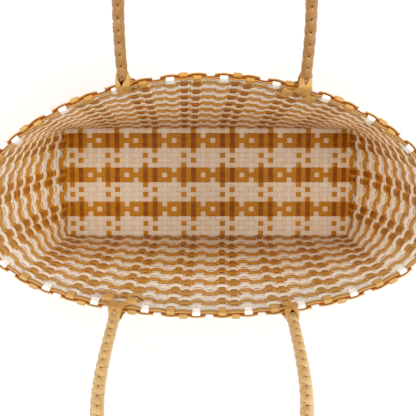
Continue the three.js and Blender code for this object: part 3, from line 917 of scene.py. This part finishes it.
class Arch:
    """The middle line of a handle: a superellipse of power squareness, measured along its length.

    The arch stands on its pivot and leans about the pivot's axis.
    """

    SAMPLES = 4001
    TANGENT_STEP = 0.0015

    def __init__(self, body):
        self.pivot = PIVOTS[body]
        shape = HANDLE_SHAPES[body]
        self.lean = shape["lean"]
        angle = np.linspace(0, np.pi, self.SAMPLES)
        power = 2 / shape["squareness"]
        self.x = -np.sign(np.cos(angle)) * np.abs(np.cos(angle)) ** power * HANDLE_HALF_SPACING
        self.z = np.sin(angle) ** power * shape["rise"]
        steps = np.hypot(np.diff(self.x), np.diff(self.z))
        self.lengths = np.concatenate([[0], np.cumsum(steps)])
        self.length = self.lengths[-1]

    def flat(self, along):
        """Places on the upright arch's middle line. Past an end it runs straight down."""
        inside = np.clip(along, 0, self.length)
        x = np.interp(inside, self.lengths, self.x)
        z = np.interp(inside, self.lengths, self.z)
        return x, z - np.maximum(0, -along) - np.maximum(0, along - self.length)

    def at(self, along, angle, radius):
        """Points round the middle line. Angle 0 faces the arch's inside, a quarter turn +Y."""
        x0, z0 = self.flat(along - self.TANGENT_STEP)
        x1, z1 = self.flat(along + self.TANGENT_STEP)
        x, z = self.flat(along)
        run = np.hypot(x1 - x0, z1 - z0)
        inward_x, inward_z = (z1 - z0) / run, -(x1 - x0) / run
        px = x + inward_x * radius * np.cos(angle)
        pz = z + inward_z * radius * np.cos(angle)
        py = radius * np.sin(angle)
        return self.place(px, py, pz)

    def place(self, x, y, z):
        """Leans points of the upright arch about the pivot and moves them to it."""
        cosine, sine = math.cos(self.lean), math.sin(self.lean)
        turned = np.stack([x, y * cosine - z * sine, y * sine + z * cosine], axis=-1)
        return turned + self.pivot


STRANDS_EACH_WAY = 2
STRAND_STEP = 0.0009
# In strip thicknesses
STRAND_SWING = 0.38
STRAND_CROWN = 0.42
CORE_INSET = 1.1
CORE_STEPS = 160
CORE_SIDES = 8
CORE_TONE = 0.5
# Painted shade: added to the tones of the back braid, which is then all in its deeper tone
BACK_BRAID_PAINTED_SHADE = 3.0
# How far each end of the braid stays off the end of its arch
BRAID_ENDS = {"front_handle": (0.002, 0.006), "back_handle": (0.006, 0.002)}


def strand_grid(arch, ends, turn_sign, number, sizes):
    """A flat strand wound round the handle's core.

    Along the handle the strand turns at a steady rate, and its radius swings once over and once
    under in each half turn. Across its width it follows the core's round surface.
    """
    slope = math.atan(2 * math.pi * sizes.braid_radius / sizes.braid_pitch)
    count = round(arch.length / STRAND_STEP)
    middle = np.linspace(ends[0], arch.length - ends[1], count)[:, None]
    across = ACROSS[None, :] * sizes.braid_width / 2
    along = middle - turn_sign * across * math.sin(slope)
    angle = (
        2 * math.pi * number / STRANDS_EACH_WAY
        + turn_sign * 2 * math.pi * middle / sizes.braid_pitch
        + across * math.cos(slope) / sizes.braid_radius
    )
    level = turn_sign * np.cos(2 * math.pi * STRANDS_EACH_WAY * middle / sizes.braid_pitch)
    layer = STRAND_SWING * level + STRAND_CROWN * HEIGHT[None, :]
    return arch.at(along, angle, sizes.braid_radius + sizes.strip_thickness * layer)


def build_handle(body, sizes, finishes):
    """Four flat strands braided round a near-black core, painted shade in the braid's gaps. They end
    just above the rim, under the feet.
    """
    arch = Arch(body)
    tone = tones(2 * STRANDS_EACH_WAY, sizes.seed + 5)
    # Painted shade over the whole back braid
    if body == "back_handle":
        tone = tone + BACK_BRAID_PAINTED_SHADE
    mesh = StripMesh()
    for number in range(STRANDS_EACH_WAY):
        for order, turn_sign in enumerate((1, -1)):
            grid = strand_grid(arch, BRAID_ENDS[body], turn_sign, number, sizes)
            mesh.add_tube(grid, tone[2 * number + order])
    braid = mesh.build(f"{body}_braid")
    dress(braid, "tan_braid", finishes)
    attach(braid, body)
    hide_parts(body)
    along = np.linspace(0, arch.length, CORE_STEPS)[:, None]
    angle = 2 * np.pi * np.arange(CORE_SIDES)[None, :] / CORE_SIDES
    core_radius = sizes.braid_radius - sizes.strip_thickness * CORE_INSET
    grid = arch.at(along, angle, core_radius + 0 * along)
    piece = build_strip(f"{body}_core", grid, CORE_TONE, across=np.cos(angle[0]))
    dress(piece, "tan_braid", finishes, "handle_core")
    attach(piece, body)


# Handle feet


class Foot:
    """Where a leg of a handle meets the rim. Lengths along the rim run anticlockwise from it."""

    SAMPLES = 601

    def __init__(self, body, side):
        self.arch = Arch(body)
        self.side = side
        self.is_front = body == "front_handle"
        self.turn = 1 if self.is_front else -1
        self.name = f"{'front' if self.is_front else 'back'}_{'left' if side < 0 else 'right'}"
        self.pivot = self.arch.pivot + np.array([side * HANDLE_HALF_SPACING, 0, 0])
        self.axis = self.arch.place(0, 0, 1) - self.arch.pivot
        start = 0 if self.is_front else BACK_SIDE
        places = np.linspace(start, start + COLUMN_COUNT, self.SAMPLES)
        x = WALL.at(places, BAND_TOP)[:, 0]
        self.place = float(np.interp(self.pivot[0], x[:: self.turn], places[:: self.turn]))

    def on_wall(self, along, offset, height):
        """A point offset out of the wall's middle, and the wall's inward direction."""
        place = self.place + along / RIM_PITCH
        outward = WALL.outward(place, height)
        return WALL.at(place, height) + outward * offset, -outward

    def on_leg(self, angle, radius, rise):
        """A point round the leg, and its direction out of the leg. Angle 0 faces into the bag."""
        distance = rise if self.side < 0 else self.arch.length - rise
        x, z = self.arch.flat(np.array(distance))
        across, inward = self.turn * math.sin(angle), self.turn * math.cos(angle)
        outward = self.arch.place(across, inward, 0) - self.arch.pivot
        return self.arch.place(x + across * radius, inward * radius, z), outward


def smooth_path(points, per_span=7):
    """A curve through the points, whose slope at each is half the way between its neighbours."""
    points = np.asarray(points, float)
    padded = np.concatenate([[2 * points[0] - points[1]], points, [2 * points[-1] - points[-2]]])
    slopes = (padded[2:] - padded[:-2]) / 2
    share = np.arange(per_span)[:, None, None] / per_span
    first, last = points[None, :-1], points[None, 1:]
    rise, run = slopes[None, :-1], slopes[None, 1:]
    curve = (
        first * (2 * share**3 - 3 * share**2 + 1)
        + rise * (share**3 - 2 * share**2 + share)
        + last * (3 * share**2 - 2 * share**3)
        + run * (share**3 - share**2)
    )
    return np.concatenate([curve.transpose(1, 0, 2).reshape(-1, points.shape[1]), points[-1:]])


# Ribbons of a foot, each with its knots on the leg (angle in degrees, radius, rise) and on the rim
# (along, offset, height), in millimetres. The inner two cross at the front right and the back left.


def both_ways(leg, rim):
    """A ribbon's mirror image and the ribbon. Angles and lengths along the rim change sign."""
    return tuple(
        tuple(tuple((side * first, *rest) for first, *rest in knots) for knots in (leg, rim))
        for side in (-1, 1)
    )


CROSSED_SHORT = (
    (
        ((-80, 4.0, 11.0), (-52, 4.7, 7.0), (-24, 4.9, 2.5)),
        ((-0.2, -3.9, 190.4), (1.4, -3.6, 186.5), (2.4, -2.3, 182.5), (3.0, -0.8, 179.5)),
    ),
    (
        ((80, 4.1, 11.0), (52, 5.0, 7.0), (24, 5.6, 2.5)),
        ((0.0, -5.0, 190.6), (-2.4, -4.5, 186.5), (-3.6, -2.7, 182.5), (-4.2, -0.9, 179.5)),
    ),
)
CROSSED_LONG = (
    CROSSED_SHORT[0],
    (
        ((84, 4.1, 11.0), (56, 5.0, 7.0), (34, 5.7, 2.5)),
        (
            (2.8, -5.0, 188.4), (1.4, -5.4, 183.6), (-1.6, -4.8, 179.2),
            (-5.6, -3.6, 176.2), (-9.4, -1.2, 173.6),
        ),
    ),
)
PARTED = both_ways(
    ((56, 3.9, 8.0), (36, 4.6, 4.5), (26, 4.9, 1.0)),
    (
        (3.0, -3.9, 190.6), (4.8, -3.6, 187.4), (7.4, -3.0, 184.6),
        (9.6, -2.0, 181.6), (10.6, -0.9, 178.0),
    ),
)
OUTER = both_ways(
    ((118, 3.9, 11.0), (136, 4.5, 7.0), (154, 4.8, 2.5)),
    (
        (2.0, 4.2, 190.2), (2.8, 4.1, 186.0), (4.2, 3.5, 181.0),
        (6.2, 2.5, 176.6), (7.8, 0.9, 172.6),
    ),
)
# A ribbon's width at shares of its length, and the heights in millimetres at which its face tips
RIBBON_SHARES = (0, 0.25, 0.75, 1)
RIBBON_WIDTHS = (0.62, 1, 1, 0.8)
TIPPING_START, TIPPING_SPAN = 186, 8
# Lashings beside a leg whose ribbons part, and the loop under each of them
LASHING_STRANDS = 5
LASHING_SECTIONS = 17
LASHING_RISE_POWER, LASHING_BULGE_POWER = 0.75, 0.5
LASHING_PITCH = 0.0017
LASHING_OVERLAP = 1.08
LASHING_ALONG = 0.0098
LASHING_MIDDLE = 0.1760
LASHING_REACH = 0.0063
LASHING_DEPTH = 0.0038
LOOP_SECTIONS = 19
LOOP_BULGE_POWER = 0.7
LOOP_ALONG = 1.1
LOOP_WIDTH = 0.0056
LOOP_REACH = 0.0078
LOOP_HEIGHT = 0.1642
LOOP_RISE = 0.0008
LOOP_DEPTH = 0.0036
HIDDEN_DEPTH = 0.0004
# The blend from the bag to the handle, along the leg
BEND_BELOW_PIVOT = 0.004
BEND_ABOVE_PIVOT = 0.012
FOOT_TONES = 8
LOOP_TONES = (6, 7)


def foot_ribbon(foot, knots, width, thickness):
    """A flat ribbon through a foot's knots, narrower at its hidden ends.

    Its face looks away from the leg's middle on the leg, and away from the wall on the rim, where
    it tips upwards towards the rim's top.
    """
    leg, rim = knots
    points, faces = [], []
    for angle, radius, rise in leg:
        point, face = foot.on_leg(math.radians(angle), radius / 1000, rise / 1000)
        points.append(point)
        faces.append(face)
    for along, offset, height in rim:
        point, inward = foot.on_wall(along / 1000, offset / 1000, height / 1000)
        tip = min(1.0, max(0.0, (height - TIPPING_START) / TIPPING_SPAN))
        points.append(point)
        faces.append(inward * -np.sign(offset) + np.array([0.0, 0.0, tip]))
    path = smooth_path(points)
    face = unit(smooth_path(faces))
    forward = unit(np.gradient(path, axis=0))
    share = np.linspace(0, 1, len(path))
    widths = width * np.interp(share, RIBBON_SHARES, RIBBON_WIDTHS)
    return strip_grid(path, np.cross(forward, face), widths, thickness)


def lashing_grid(foot, along, width, thickness):
    """A short upright band round the two top weft strips. Powers of sine and cosine shape it."""
    turn = np.linspace(-0.5, 0.5, LASHING_SECTIONS) * np.pi
    rise = np.sign(np.sin(turn)) * np.abs(np.sin(turn)) ** LASHING_RISE_POWER
    heights = LASHING_MIDDLE + LASHING_REACH * rise
    offsets = -HIDDEN_DEPTH - LASHING_DEPTH * np.cos(turn) ** LASHING_BULGE_POWER
    place = np.full(len(turn), foot.place + along / RIM_PITCH)
    path = WALL.off(place, heights, offsets)
    return strip_grid(path, WALL.along(place, heights), width, thickness)


def loop_grid(foot, along, width, thickness):
    """A strip that bows out of the wall just under a lashing, as a power of a cosine."""
    share = np.linspace(-1, 1, LOOP_SECTIONS)
    places = foot.place + (along + LOOP_REACH * share) / RIM_PITCH
    heights = LOOP_HEIGHT + LOOP_RISE * (1 - share**2)
    offsets = -HIDDEN_DEPTH - LOOP_DEPTH * np.cos(share * np.pi / 2) ** LOOP_BULGE_POWER
    path = WALL.off(places, heights, offsets)
    return strip_grid(path, WALL.upward(places, heights), width, thickness)


def build_foot(body, side, sizes, finishes):
    """Flat ribbons that leave the braid, pass the rim inside and outside, and tuck into the wall.

    At the front right and the back left the inner two cross. At the front left and the back right
    they part to both sides, each under a lashing.
    """
    foot = Foot(body, side)
    is_crossed = (side > 0) == foot.is_front
    inner = (CROSSED_SHORT if foot.is_front else CROSSED_LONG) if is_crossed else PARTED
    tone = tones(FOOT_TONES, sizes.seed + 6)
    mesh = StripMesh()
    for order, knots in enumerate(inner + OUTER):
        ribbon = foot_ribbon(foot, knots, sizes.foot_width, sizes.strip_thickness)
        mesh.add_tube(ribbon, tone[order])
    ribbons = mesh.build(f"{foot.name}_foot_ribbons")
    dress(ribbons, "tan_strap", finishes)
    start = foot.pivot - foot.axis * BEND_BELOW_PIVOT
    end = foot.pivot + foot.axis * BEND_ABOVE_PIVOT
    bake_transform(ribbons, "bag", body, start=tuple(start), end=tuple(end))
    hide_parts(f"{foot.name}_handle_strap")
    if is_crossed:
        return
    mesh = StripMesh()
    width = LASHING_PITCH * LASHING_OVERLAP
    for along, loop_tone in zip((-LASHING_ALONG, LASHING_ALONG), LOOP_TONES):
        for number in range(LASHING_STRANDS):
            beside = (number - (LASHING_STRANDS - 1) / 2) * LASHING_PITCH
            strand = lashing_grid(foot, along + beside, width, sizes.strip_thickness)
            mesh.add_tube(strand, tone[number])
        loop = loop_grid(foot, along * LOOP_ALONG, LOOP_WIDTH, sizes.strip_thickness)
        mesh.add_tube(loop, tone[loop_tone])
    lashings = mesh.build(f"{foot.name}_lashings")
    dress(lashings, "tan_strap", finishes)
    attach(lashings, "bag")


# Finishes


class Socket:
    """A shader output on which sums, differences, products and quotients can be written."""

    def __init__(self, graph, output):
        self.graph = graph
        self.output = output

    def math(self, operation, first, second):
        return self.graph.socket("ShaderNodeMath", {"operation": operation}, {0: first, 1: second})

    def __add__(self, other):
        return self.math("ADD", self, other)

    def __sub__(self, other):
        return self.math("SUBTRACT", self, other)

    def __rsub__(self, other):
        return self.math("SUBTRACT", other, self)

    def __mul__(self, other):
        return self.math("MULTIPLY", self, other)

    def __truediv__(self, other):
        return self.math("DIVIDE", self, other)

    def __pow__(self, other):
        return self.math("POWER", self, other)

    def __abs__(self):
        return self.math("ABSOLUTE", self, 0.0)

    def clamped(self):
        return self.graph.socket("ShaderNodeClamp", {}, {"Value": self})


class Graph:
    """The node tree of a new material or of the world."""

    def __init__(self, owner):
        owner.use_nodes = True
        self.tree = owner.node_tree
        self.tree.nodes.clear()

    def node(self, kind, settings, inputs):
        """Makes a node, sets its settings first and then its sockets, from values or links."""
        node = self.tree.nodes.new(kind)
        for key, value in settings.items():
            setattr(node, key, value)
        for key, value in inputs.items():
            if isinstance(value, Socket):
                self.tree.links.new(value.output, node.inputs[key])
            else:
                node.inputs[key].default_value = value
        return node

    def socket(self, kind, settings, inputs, output=0):
        return Socket(self, self.node(kind, settings, inputs).outputs[output])

    def attribute(self, name):
        return self.socket("ShaderNodeAttribute", {"attribute_name": name}, {}, "Fac")

    def parts(self, vector):
        node = self.node("ShaderNodeSeparateXYZ", {}, {0: vector})
        return [Socket(self, output) for output in node.outputs]

    def noise(self, place, scale, detail):
        inputs = {"Vector": place, "Scale": scale, "Detail": detail}
        return self.socket("ShaderNodeTexNoise", {}, inputs)

    def stretched_noise(self, parts, scales, detail):
        """Noise over three sockets, each times its own scale."""
        scaled = {axis: part * scale for axis, part, scale in zip("XYZ", parts, scales)}
        return self.noise(self.socket("ShaderNodeCombineXYZ", {}, scaled), 1.0, detail)

    def mix_colour(self, share, first, second):
        first, second = (
            colour if isinstance(colour, Socket) else (*colour, 1.0) for colour in (first, second)
        )
        inputs = {"Factor": share, 6: first, 7: second}
        return self.socket("ShaderNodeMix", {"data_type": "RGBA"}, inputs, 2)

    def finish(self, kind, shader):
        """Leads a shader to the tree's output."""
        self.node(kind, {}, {"Surface": shader})

    def fade_to_white(self, share, shader, kind):
        """Mixes a shader with plain white at a strength of 1, by share."""
        white = self.socket(kind, {}, {"Color": (1.0, 1.0, 1.0, 1.0), "Strength": 1.0})
        return self.socket("ShaderNodeMixShader", {}, {0: share, 1: shader, 2: white})


# Noise cells for each metre along a strip, for each half width across it, and for each unit of tone
LINE_SCALES = (18.0, 6.0, 40.0)
PATCH_SCALES = (60.0, 0.8, 23.0)
GRAIN_SCALE = 900.0
# Painted light, paler towards the mouth: the height at which it starts, and the span in which it grows to
# its whole
PAINTED_LIGHT_START, PAINTED_LIGHT_SPAN, PAINTED_LIGHT_POWER = 0.07, 0.11, 1.1
# What moves the share of the shade: the lines, patches and the strip's own tone, and painted shade where a
# tan strip lies behind
SHADE_OF_LINES, SHADE_OF_PATCHES, SHADE_OF_TONE, SHADE_OF_BACKING = 0.5, 0.4, 0.3, 0.8
LEAST_SHADE = 0.1
# Painted shade that grows towards the right, for each metre
SHADE_EACH_METRE_RIGHT = 0.7
# Painted shade of a tan backing: its share at the front side, what it gains off that side, and what it gains
# at the back
BACKED_AT_FRONT, BACKED_OFF_FRONT, BACKED_AT_BACK = 0.35, 0.65, 0.35
# Where the front side ends and the back side starts, and how fast, for each metre
FRONT_END, FRONT_FADE = -0.08, 20.0
BACK_START, BACK_FADE = 0.05, 30.0
EDGE_POWER = 6.0
# How far the shade holds the painted light back, the share of the painted light and shade at the edges, and
# that of the painted shade where a strip goes under another
PAINTED_LIGHT_HOLD, PAINTED_EDGE_SHARE, TUCK_SHADING = 0.45, 0.7, 0.6
ROUGHNESS_OF_PATCHES, ROUGHNESS_OF_EDGES = 0.18, 0.12
LINES_IN_BUMP, GRAIN_IN_BUMP = 0.7, 0.3
BUMP = {"Strength": 0.22, "Distance": 0.0003}
PLASTIC = {"Coat Roughness": 0.2, "IOR": 1.49}


def strip_finish(name, colours, roughness, specular, coat, back_light_hold=0.0):
    """Soft-gloss drawn plastic: fine lines along the strip, uneven tone, painted light and shade at
    its edges, and painted light that makes it paler towards the rim.

    The share of the shade grows in the lines, and as painted shade where the strip behind is tan,
    least on the front side, which the window lights from within. Where there is a painted-light
    colour, painted shade also grows towards the right, and the painted-light colour takes over in
    the top half of the wall, less at the back by back_light_hold. The painted edge colour shows at
    the strip's edges, and painted shade where the strip goes under another.
    """
    colour, shade, painted_light_colour, painted_edge, hollow = colours
    material = bpy.data.materials.new(name)
    graph = Graph(material)
    along, across = graph.parts(graph.socket("ShaderNodeUVMap", {"uv_map": "strip"}, {}))[:2]
    tone, backing, under = (graph.attribute(label) for label in ("tone", "backing", "tuck"))
    place = graph.socket("ShaderNodeTexCoord", {}, {}, "Object")
    sideways, depthwise, height = graph.parts(place)

    lines = graph.stretched_noise((along, across, tone), LINE_SCALES, 3.0)
    patches = graph.stretched_noise((along, across, tone), PATCH_SCALES, 2.0)
    grain = graph.noise(place, GRAIN_SCALE, 2.0)
    edge = abs(across) ** EDGE_POWER
    unevenness = (lines - 0.5) * SHADE_OF_LINES + (patches - 0.5) * SHADE_OF_PATCHES
    unevenness = unevenness + (tone - 0.5) * SHADE_OF_TONE
    # Painted shade where a tan strip lies behind, weakest on the front side that the window lights
    off_front = ((depthwise - FRONT_END) * FRONT_FADE).clamped()
    at_back = ((depthwise - BACK_START) * BACK_FADE).clamped()
    backed = off_front * BACKED_OFF_FRONT + at_back * BACKED_AT_BACK + BACKED_AT_FRONT
    depth = unevenness + backing * backed * SHADE_OF_BACKING + LEAST_SHADE
    # Painted shade, deeper towards the right
    if painted_light_colour:
        depth = depth + sideways * SHADE_EACH_METRE_RIGHT
    depth = depth.clamped()
    base = graph.mix_colour(depth, colour, shade)
    # Painted light: paler towards the mouth, held back where the shade is deep and at the back
    if painted_light_colour:
        rim = ((height - PAINTED_LIGHT_START) / PAINTED_LIGHT_SPAN).clamped() ** PAINTED_LIGHT_POWER
        held = 1.0 - depth * PAINTED_LIGHT_HOLD - at_back * back_light_hold
        base = graph.mix_colour(rim * held, base, painted_light_colour)
    # Painted light and shade at the edges, and painted shade where the strip goes under another
    base = graph.mix_colour(edge * PAINTED_EDGE_SHARE, base, painted_edge)
    base = graph.mix_colour(under * TUCK_SHADING, base, hollow)
    worn = (patches - 0.5) * ROUGHNESS_OF_PATCHES + edge * ROUGHNESS_OF_EDGES
    relief = lines * LINES_IN_BUMP + grain * GRAIN_IN_BUMP
    surface = {
        "Base Color": base,
        "Roughness": worn + roughness,
        "Normal": graph.socket("ShaderNodeBump", {}, {**BUMP, "Height": relief}),
        "Specular IOR Level": specular,
        "Coat Weight": coat,
        **PLASTIC,
    }
    graph.finish("ShaderNodeOutputMaterial", graph.socket("ShaderNodeBsdfPrincipled", {}, surface))


# For each finish the material's name, kind of colour, roughness, specular level, coat and back_light_hold,
# by which the painted light towards the mouth is held back at the back
FINISHES = {
    "white_strip": ("white_plastic_strip", "white", 0.36, 0.3, 0.03),
    "tan_strip": ("tan_plastic_strip", "tan", 0.38, 0.12, 0.0, 0.35),
    "tan_rim": ("tan_rim_strip", "tan", 0.32, 0.4, 0.08, 0.35),
    "tan_strap": ("tan_strap_strip", "strap", 0.32, 0.4, 0.1),
    "tan_braid": ("tan_braid_strand", "handle", 0.27, 0.5, 0.15),
    "handle_core": ("handle_core_fibre", "core", 0.8, 0.0, 0.0),
    "rim_filler": ("rim_filler_strip", "filler", 0.4, 0.3, 0.0),
}


DARKER_SHADE = 0.5


def colours_of(colours, kind):
    """The main colour of a kind, its shade, its painted-light colour towards the rim, its painted
    edge colour, and the colour of painted shade where a strip goes under another.
    """
    main = getattr(colours, kind)
    shade = getattr(colours, f"{kind}_shade", [channel * DARKER_SHADE for channel in main])
    painted_light_colour = getattr(colours, f"{kind}_rim", None)
    painted_edge = getattr(colours, f"{kind}_edge", getattr(colours, f"{kind}_shade", main))
    return main, shade, painted_light_colour, painted_edge, colours.hollow


def finishes_of(scene):
    """The finishes, made once and found again by name."""
    found = {}
    for slot, (name, kind, *surface) in FINISHES.items():
        if name not in bpy.data.materials:
            strip_finish(name, colours_of(scene.tote_colours, kind), *surface)
        found[slot] = bpy.data.materials[name]
    return found


def dress(piece, slot, finishes, finish=None):
    """Gives a piece its finish: the one named, or else the one of its slot."""
    piece.data.materials.clear()
    piece.data.materials.append(finishes[finish or slot])


# Stage

TABLE_HALF_WIDTH = 1.5
TABLE_DARKER, TABLE_NOISE_SCALE, TABLE_ROUGHNESS = 0.97, 3.0, 0.7
# Distance from the bag's middle at which the table starts to fade, and the span of the fade
FADE_START, FADE_SPAN = 0.45, 0.45
DAYLIGHT = (1.0, 0.985, 0.96)
ROOM_STRENGTH = 0.04
LAMP_TARGET = (0, 0, 0.1)
# Name, place, size and power in watts of each lamp
LAMPS = (
    ("window", (0.0, 2.07, 1.81), (2.88, 1.26), 39.5),
    ("ceiling", (0.0, 0.18, 2.98), (2.88, 1.44), 28.5),
    ("left", (-2.34, 0.0, 1.63), (1.62, 1.08), 43.0),
    ("right", (2.34, 0.0, 1.63), (1.62, 1.08), 55.0),
    ("front", (0.0, -1.98, 2.17), (2.88, 1.26), 36.0),
)
# The photograph's camera
CAMERA_HEIGHT = 0.6896
CAMERA_Y = 0.0378
CAMERA_TILT_DEGREES = -5.15
CAMERA_FOCAL_PIXELS = 666
IMAGE_PIXELS = 416
SENSOR_MILLIMETRES = 36


def background_rays(graph):
    """1 for the rays that see the white background: the camera's, and those of gloss or glass."""
    rays = graph.node("ShaderNodeLightPath", {}, {})
    kinds = ("Is Camera Ray", "Is Glossy Ray", "Is Transmission Ray")
    camera, glossy, transmitted = (Socket(graph, rays.outputs[kind]) for kind in kinds)
    return (camera + glossy + transmitted).clamped()


def build_table(colours):
    """A wide pale floor under the bag. To the camera it fades into the white background."""
    half = TABLE_HALF_WIDTH
    corners = [(-half, -half, 0), (half, -half, 0), (half, half, 0), (-half, half, 0)]
    mesh = bpy.data.meshes.new("table")
    mesh.from_pydata(corners, [], [(0, 1, 2, 3)])
    table = add_object("table", mesh)
    material = bpy.data.materials.new("pale_table")
    graph = Graph(material)
    place = graph.socket("ShaderNodeTexCoord", {}, {}, "Object")
    darker = [channel * TABLE_DARKER for channel in colours.table]
    base = graph.mix_colour(graph.noise(place, TABLE_NOISE_SCALE, 2.0), colours.table, darker)
    surface = {"Base Color": base, "Roughness": TABLE_ROUGHNESS}
    shader = graph.socket("ShaderNodeBsdfPrincipled", {}, surface)
    distance = graph.socket("ShaderNodeVectorMath", {"operation": "LENGTH"}, {0: place}, "Value")
    fade = ((distance - FADE_START) / FADE_SPAN).clamped()
    mixed = graph.fade_to_white(fade * background_rays(graph), shader, "ShaderNodeEmission")
    graph.finish("ShaderNodeOutputMaterial", mixed)
    mesh.materials.append(material)


def add_lamp(name, place, size, power):
    """An oblong soft lamp at place that faces the bag."""
    light = bpy.data.lights.new(name, "AREA")
    light.shape = "RECTANGLE"
    light.size, light.size_y = size
    light.energy = power
    light.color = DAYLIGHT
    lamp = add_object(name, light)
    x, y, z = np.array(LAMP_TARGET) - np.array(place)
    lamp.location = place
    lamp.rotation_euler = Euler((math.atan2(math.hypot(x, y), -z), 0, math.atan2(-x, y)))


def build_light():
    """Soft daylight from all sides and from above, in a room that the camera sees as white."""
    world = bpy.data.worlds.new("pale_room")
    bpy.context.scene.world = world
    graph = Graph(world)
    daylight = {"Color": (*DAYLIGHT, 1.0), "Strength": ROOM_STRENGTH}
    room = graph.socket("ShaderNodeBackground", {}, daylight)
    mixed = graph.fade_to_white(background_rays(graph), room, "ShaderNodeBackground")
    graph.finish("ShaderNodeOutputWorld", mixed)
    for lamp in LAMPS:
        add_lamp(*lamp)


def build_camera():
    """The photograph looks down into the bag from a little behind its middle."""
    data = bpy.data.cameras.new("camera")
    data.sensor_width = SENSOR_MILLIMETRES
    data.lens = CAMERA_FOCAL_PIXELS / IMAGE_PIXELS * SENSOR_MILLIMETRES
    camera = add_object("camera", data)
    camera.location = (0, CAMERA_Y, CAMERA_HEIGHT)
    camera.rotation_euler = Euler((math.radians(CAMERA_TILT_DEGREES), 0, 0))
    bpy.context.scene.camera = camera


# Operators


def settings(scene):
    return scene.tote_sizes, finishes_of(scene)


class TOTE_OT_columns(bpy.types.Operator):
    """Weaves the thirty crosswise strips with their uprights and folded ends"""

    bl_idname = "tote.columns"
    bl_label = "Crosswise strips"

    def execute(self, context):
        build_columns(*settings(context.scene))
        return {"FINISHED"}


class TOTE_OT_rows(bpy.types.Operator):
    """Weaves the lengthwise strips and pushes in the corner stakes"""

    bl_idname = "tote.rows"
    bl_label = "Lengthwise strips and stakes"

    def execute(self, context):
        build_rows(*settings(context.scene))
        build_stakes(*settings(context.scene))
        return {"FINISHED"}


class TOTE_OT_rings(bpy.types.Operator):
    """Weaves the weft rings between the uprights"""

    bl_idname = "tote.rings"
    bl_label = "Weft rings"

    def execute(self, context):
        build_rings(*settings(context.scene))
        return {"FINISHED"}


class TOTE_OT_bands(bpy.types.Operator):
    """Lays the two rim bands and the dark sheet of painted shade between them"""

    bl_idname = "tote.bands"
    bl_label = "Rim bands"

    def execute(self, context):
        build_bands(*settings(context.scene))
        build_gap_shade(*settings(context.scene))
        return {"FINISHED"}


class TOTE_OT_handles(bpy.types.Operator):
    """Braids the two handles"""

    bl_idname = "tote.handles"
    bl_label = "Handles"

    def execute(self, context):
        for body in HANDLE_SHAPES:
            build_handle(body, *settings(context.scene))
        return {"FINISHED"}


class TOTE_OT_feet(bpy.types.Operator):
    """Ties the handles' legs over the rim"""

    bl_idname = "tote.feet"
    bl_label = "Handle feet and lashings"

    def execute(self, context):
        for body in HANDLE_SHAPES:
            for side in (-1, 1):
                build_foot(body, side, *settings(context.scene))
        return {"FINISHED"}


class TOTE_OT_stage(bpy.types.Operator):
    """Lays the pale floor and sets the lamps and the camera"""

    bl_idname = "tote.stage"
    bl_label = "Floor, light and camera"

    def execute(self, context):
        context.scene.view_settings.view_transform = "Standard"
        build_table(context.scene.tote_colours)
        build_light()
        build_camera()
        return {"FINISHED"}


class TOTE_PT_panel(bpy.types.Panel):
    """Sizes, colours and steps of the tote bag"""

    bl_idname = "TOTE_PT_panel"
    bl_label = "Woven tote bag"
    bl_space_type = "VIEW_3D"
    bl_region_type = "UI"
    bl_category = "Tote Bag"

    def draw(self, context):
        for group in (context.scene.tote_sizes, context.scene.tote_colours):
            box = self.layout.box()
            for name in group.__annotations__:
                box.prop(group, name)
        for operator in OPERATORS:
            self.layout.operator(operator.bl_idname)


OPERATORS = (
    TOTE_OT_columns,
    TOTE_OT_rows,
    TOTE_OT_rings,
    TOTE_OT_bands,
    TOTE_OT_handles,
    TOTE_OT_feet,
    TOTE_OT_stage,
)
CLASSES = (ToteSizes, ToteColours, *OPERATORS, TOTE_PT_panel)


def register():
    for cls in CLASSES:
        bpy.utils.register_class(cls)
    bpy.types.Scene.tote_sizes = PointerProperty(type=ToteSizes)
    bpy.types.Scene.tote_colours = PointerProperty(type=ToteColours)


def unregister():
    del bpy.types.Scene.tote_colours
    del bpy.types.Scene.tote_sizes
    for cls in reversed(CLASSES):
        bpy.utils.unregister_class(cls)


def main():
    register()
    bpy.ops.tote.columns()
    bpy.ops.tote.rows()
    bpy.ops.tote.rings()
    bpy.ops.tote.bands()
    bpy.ops.tote.handles()
    bpy.ops.tote.feet()
    bpy.ops.tote.stage()
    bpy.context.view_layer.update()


if __name__ == "__main__":
    main()
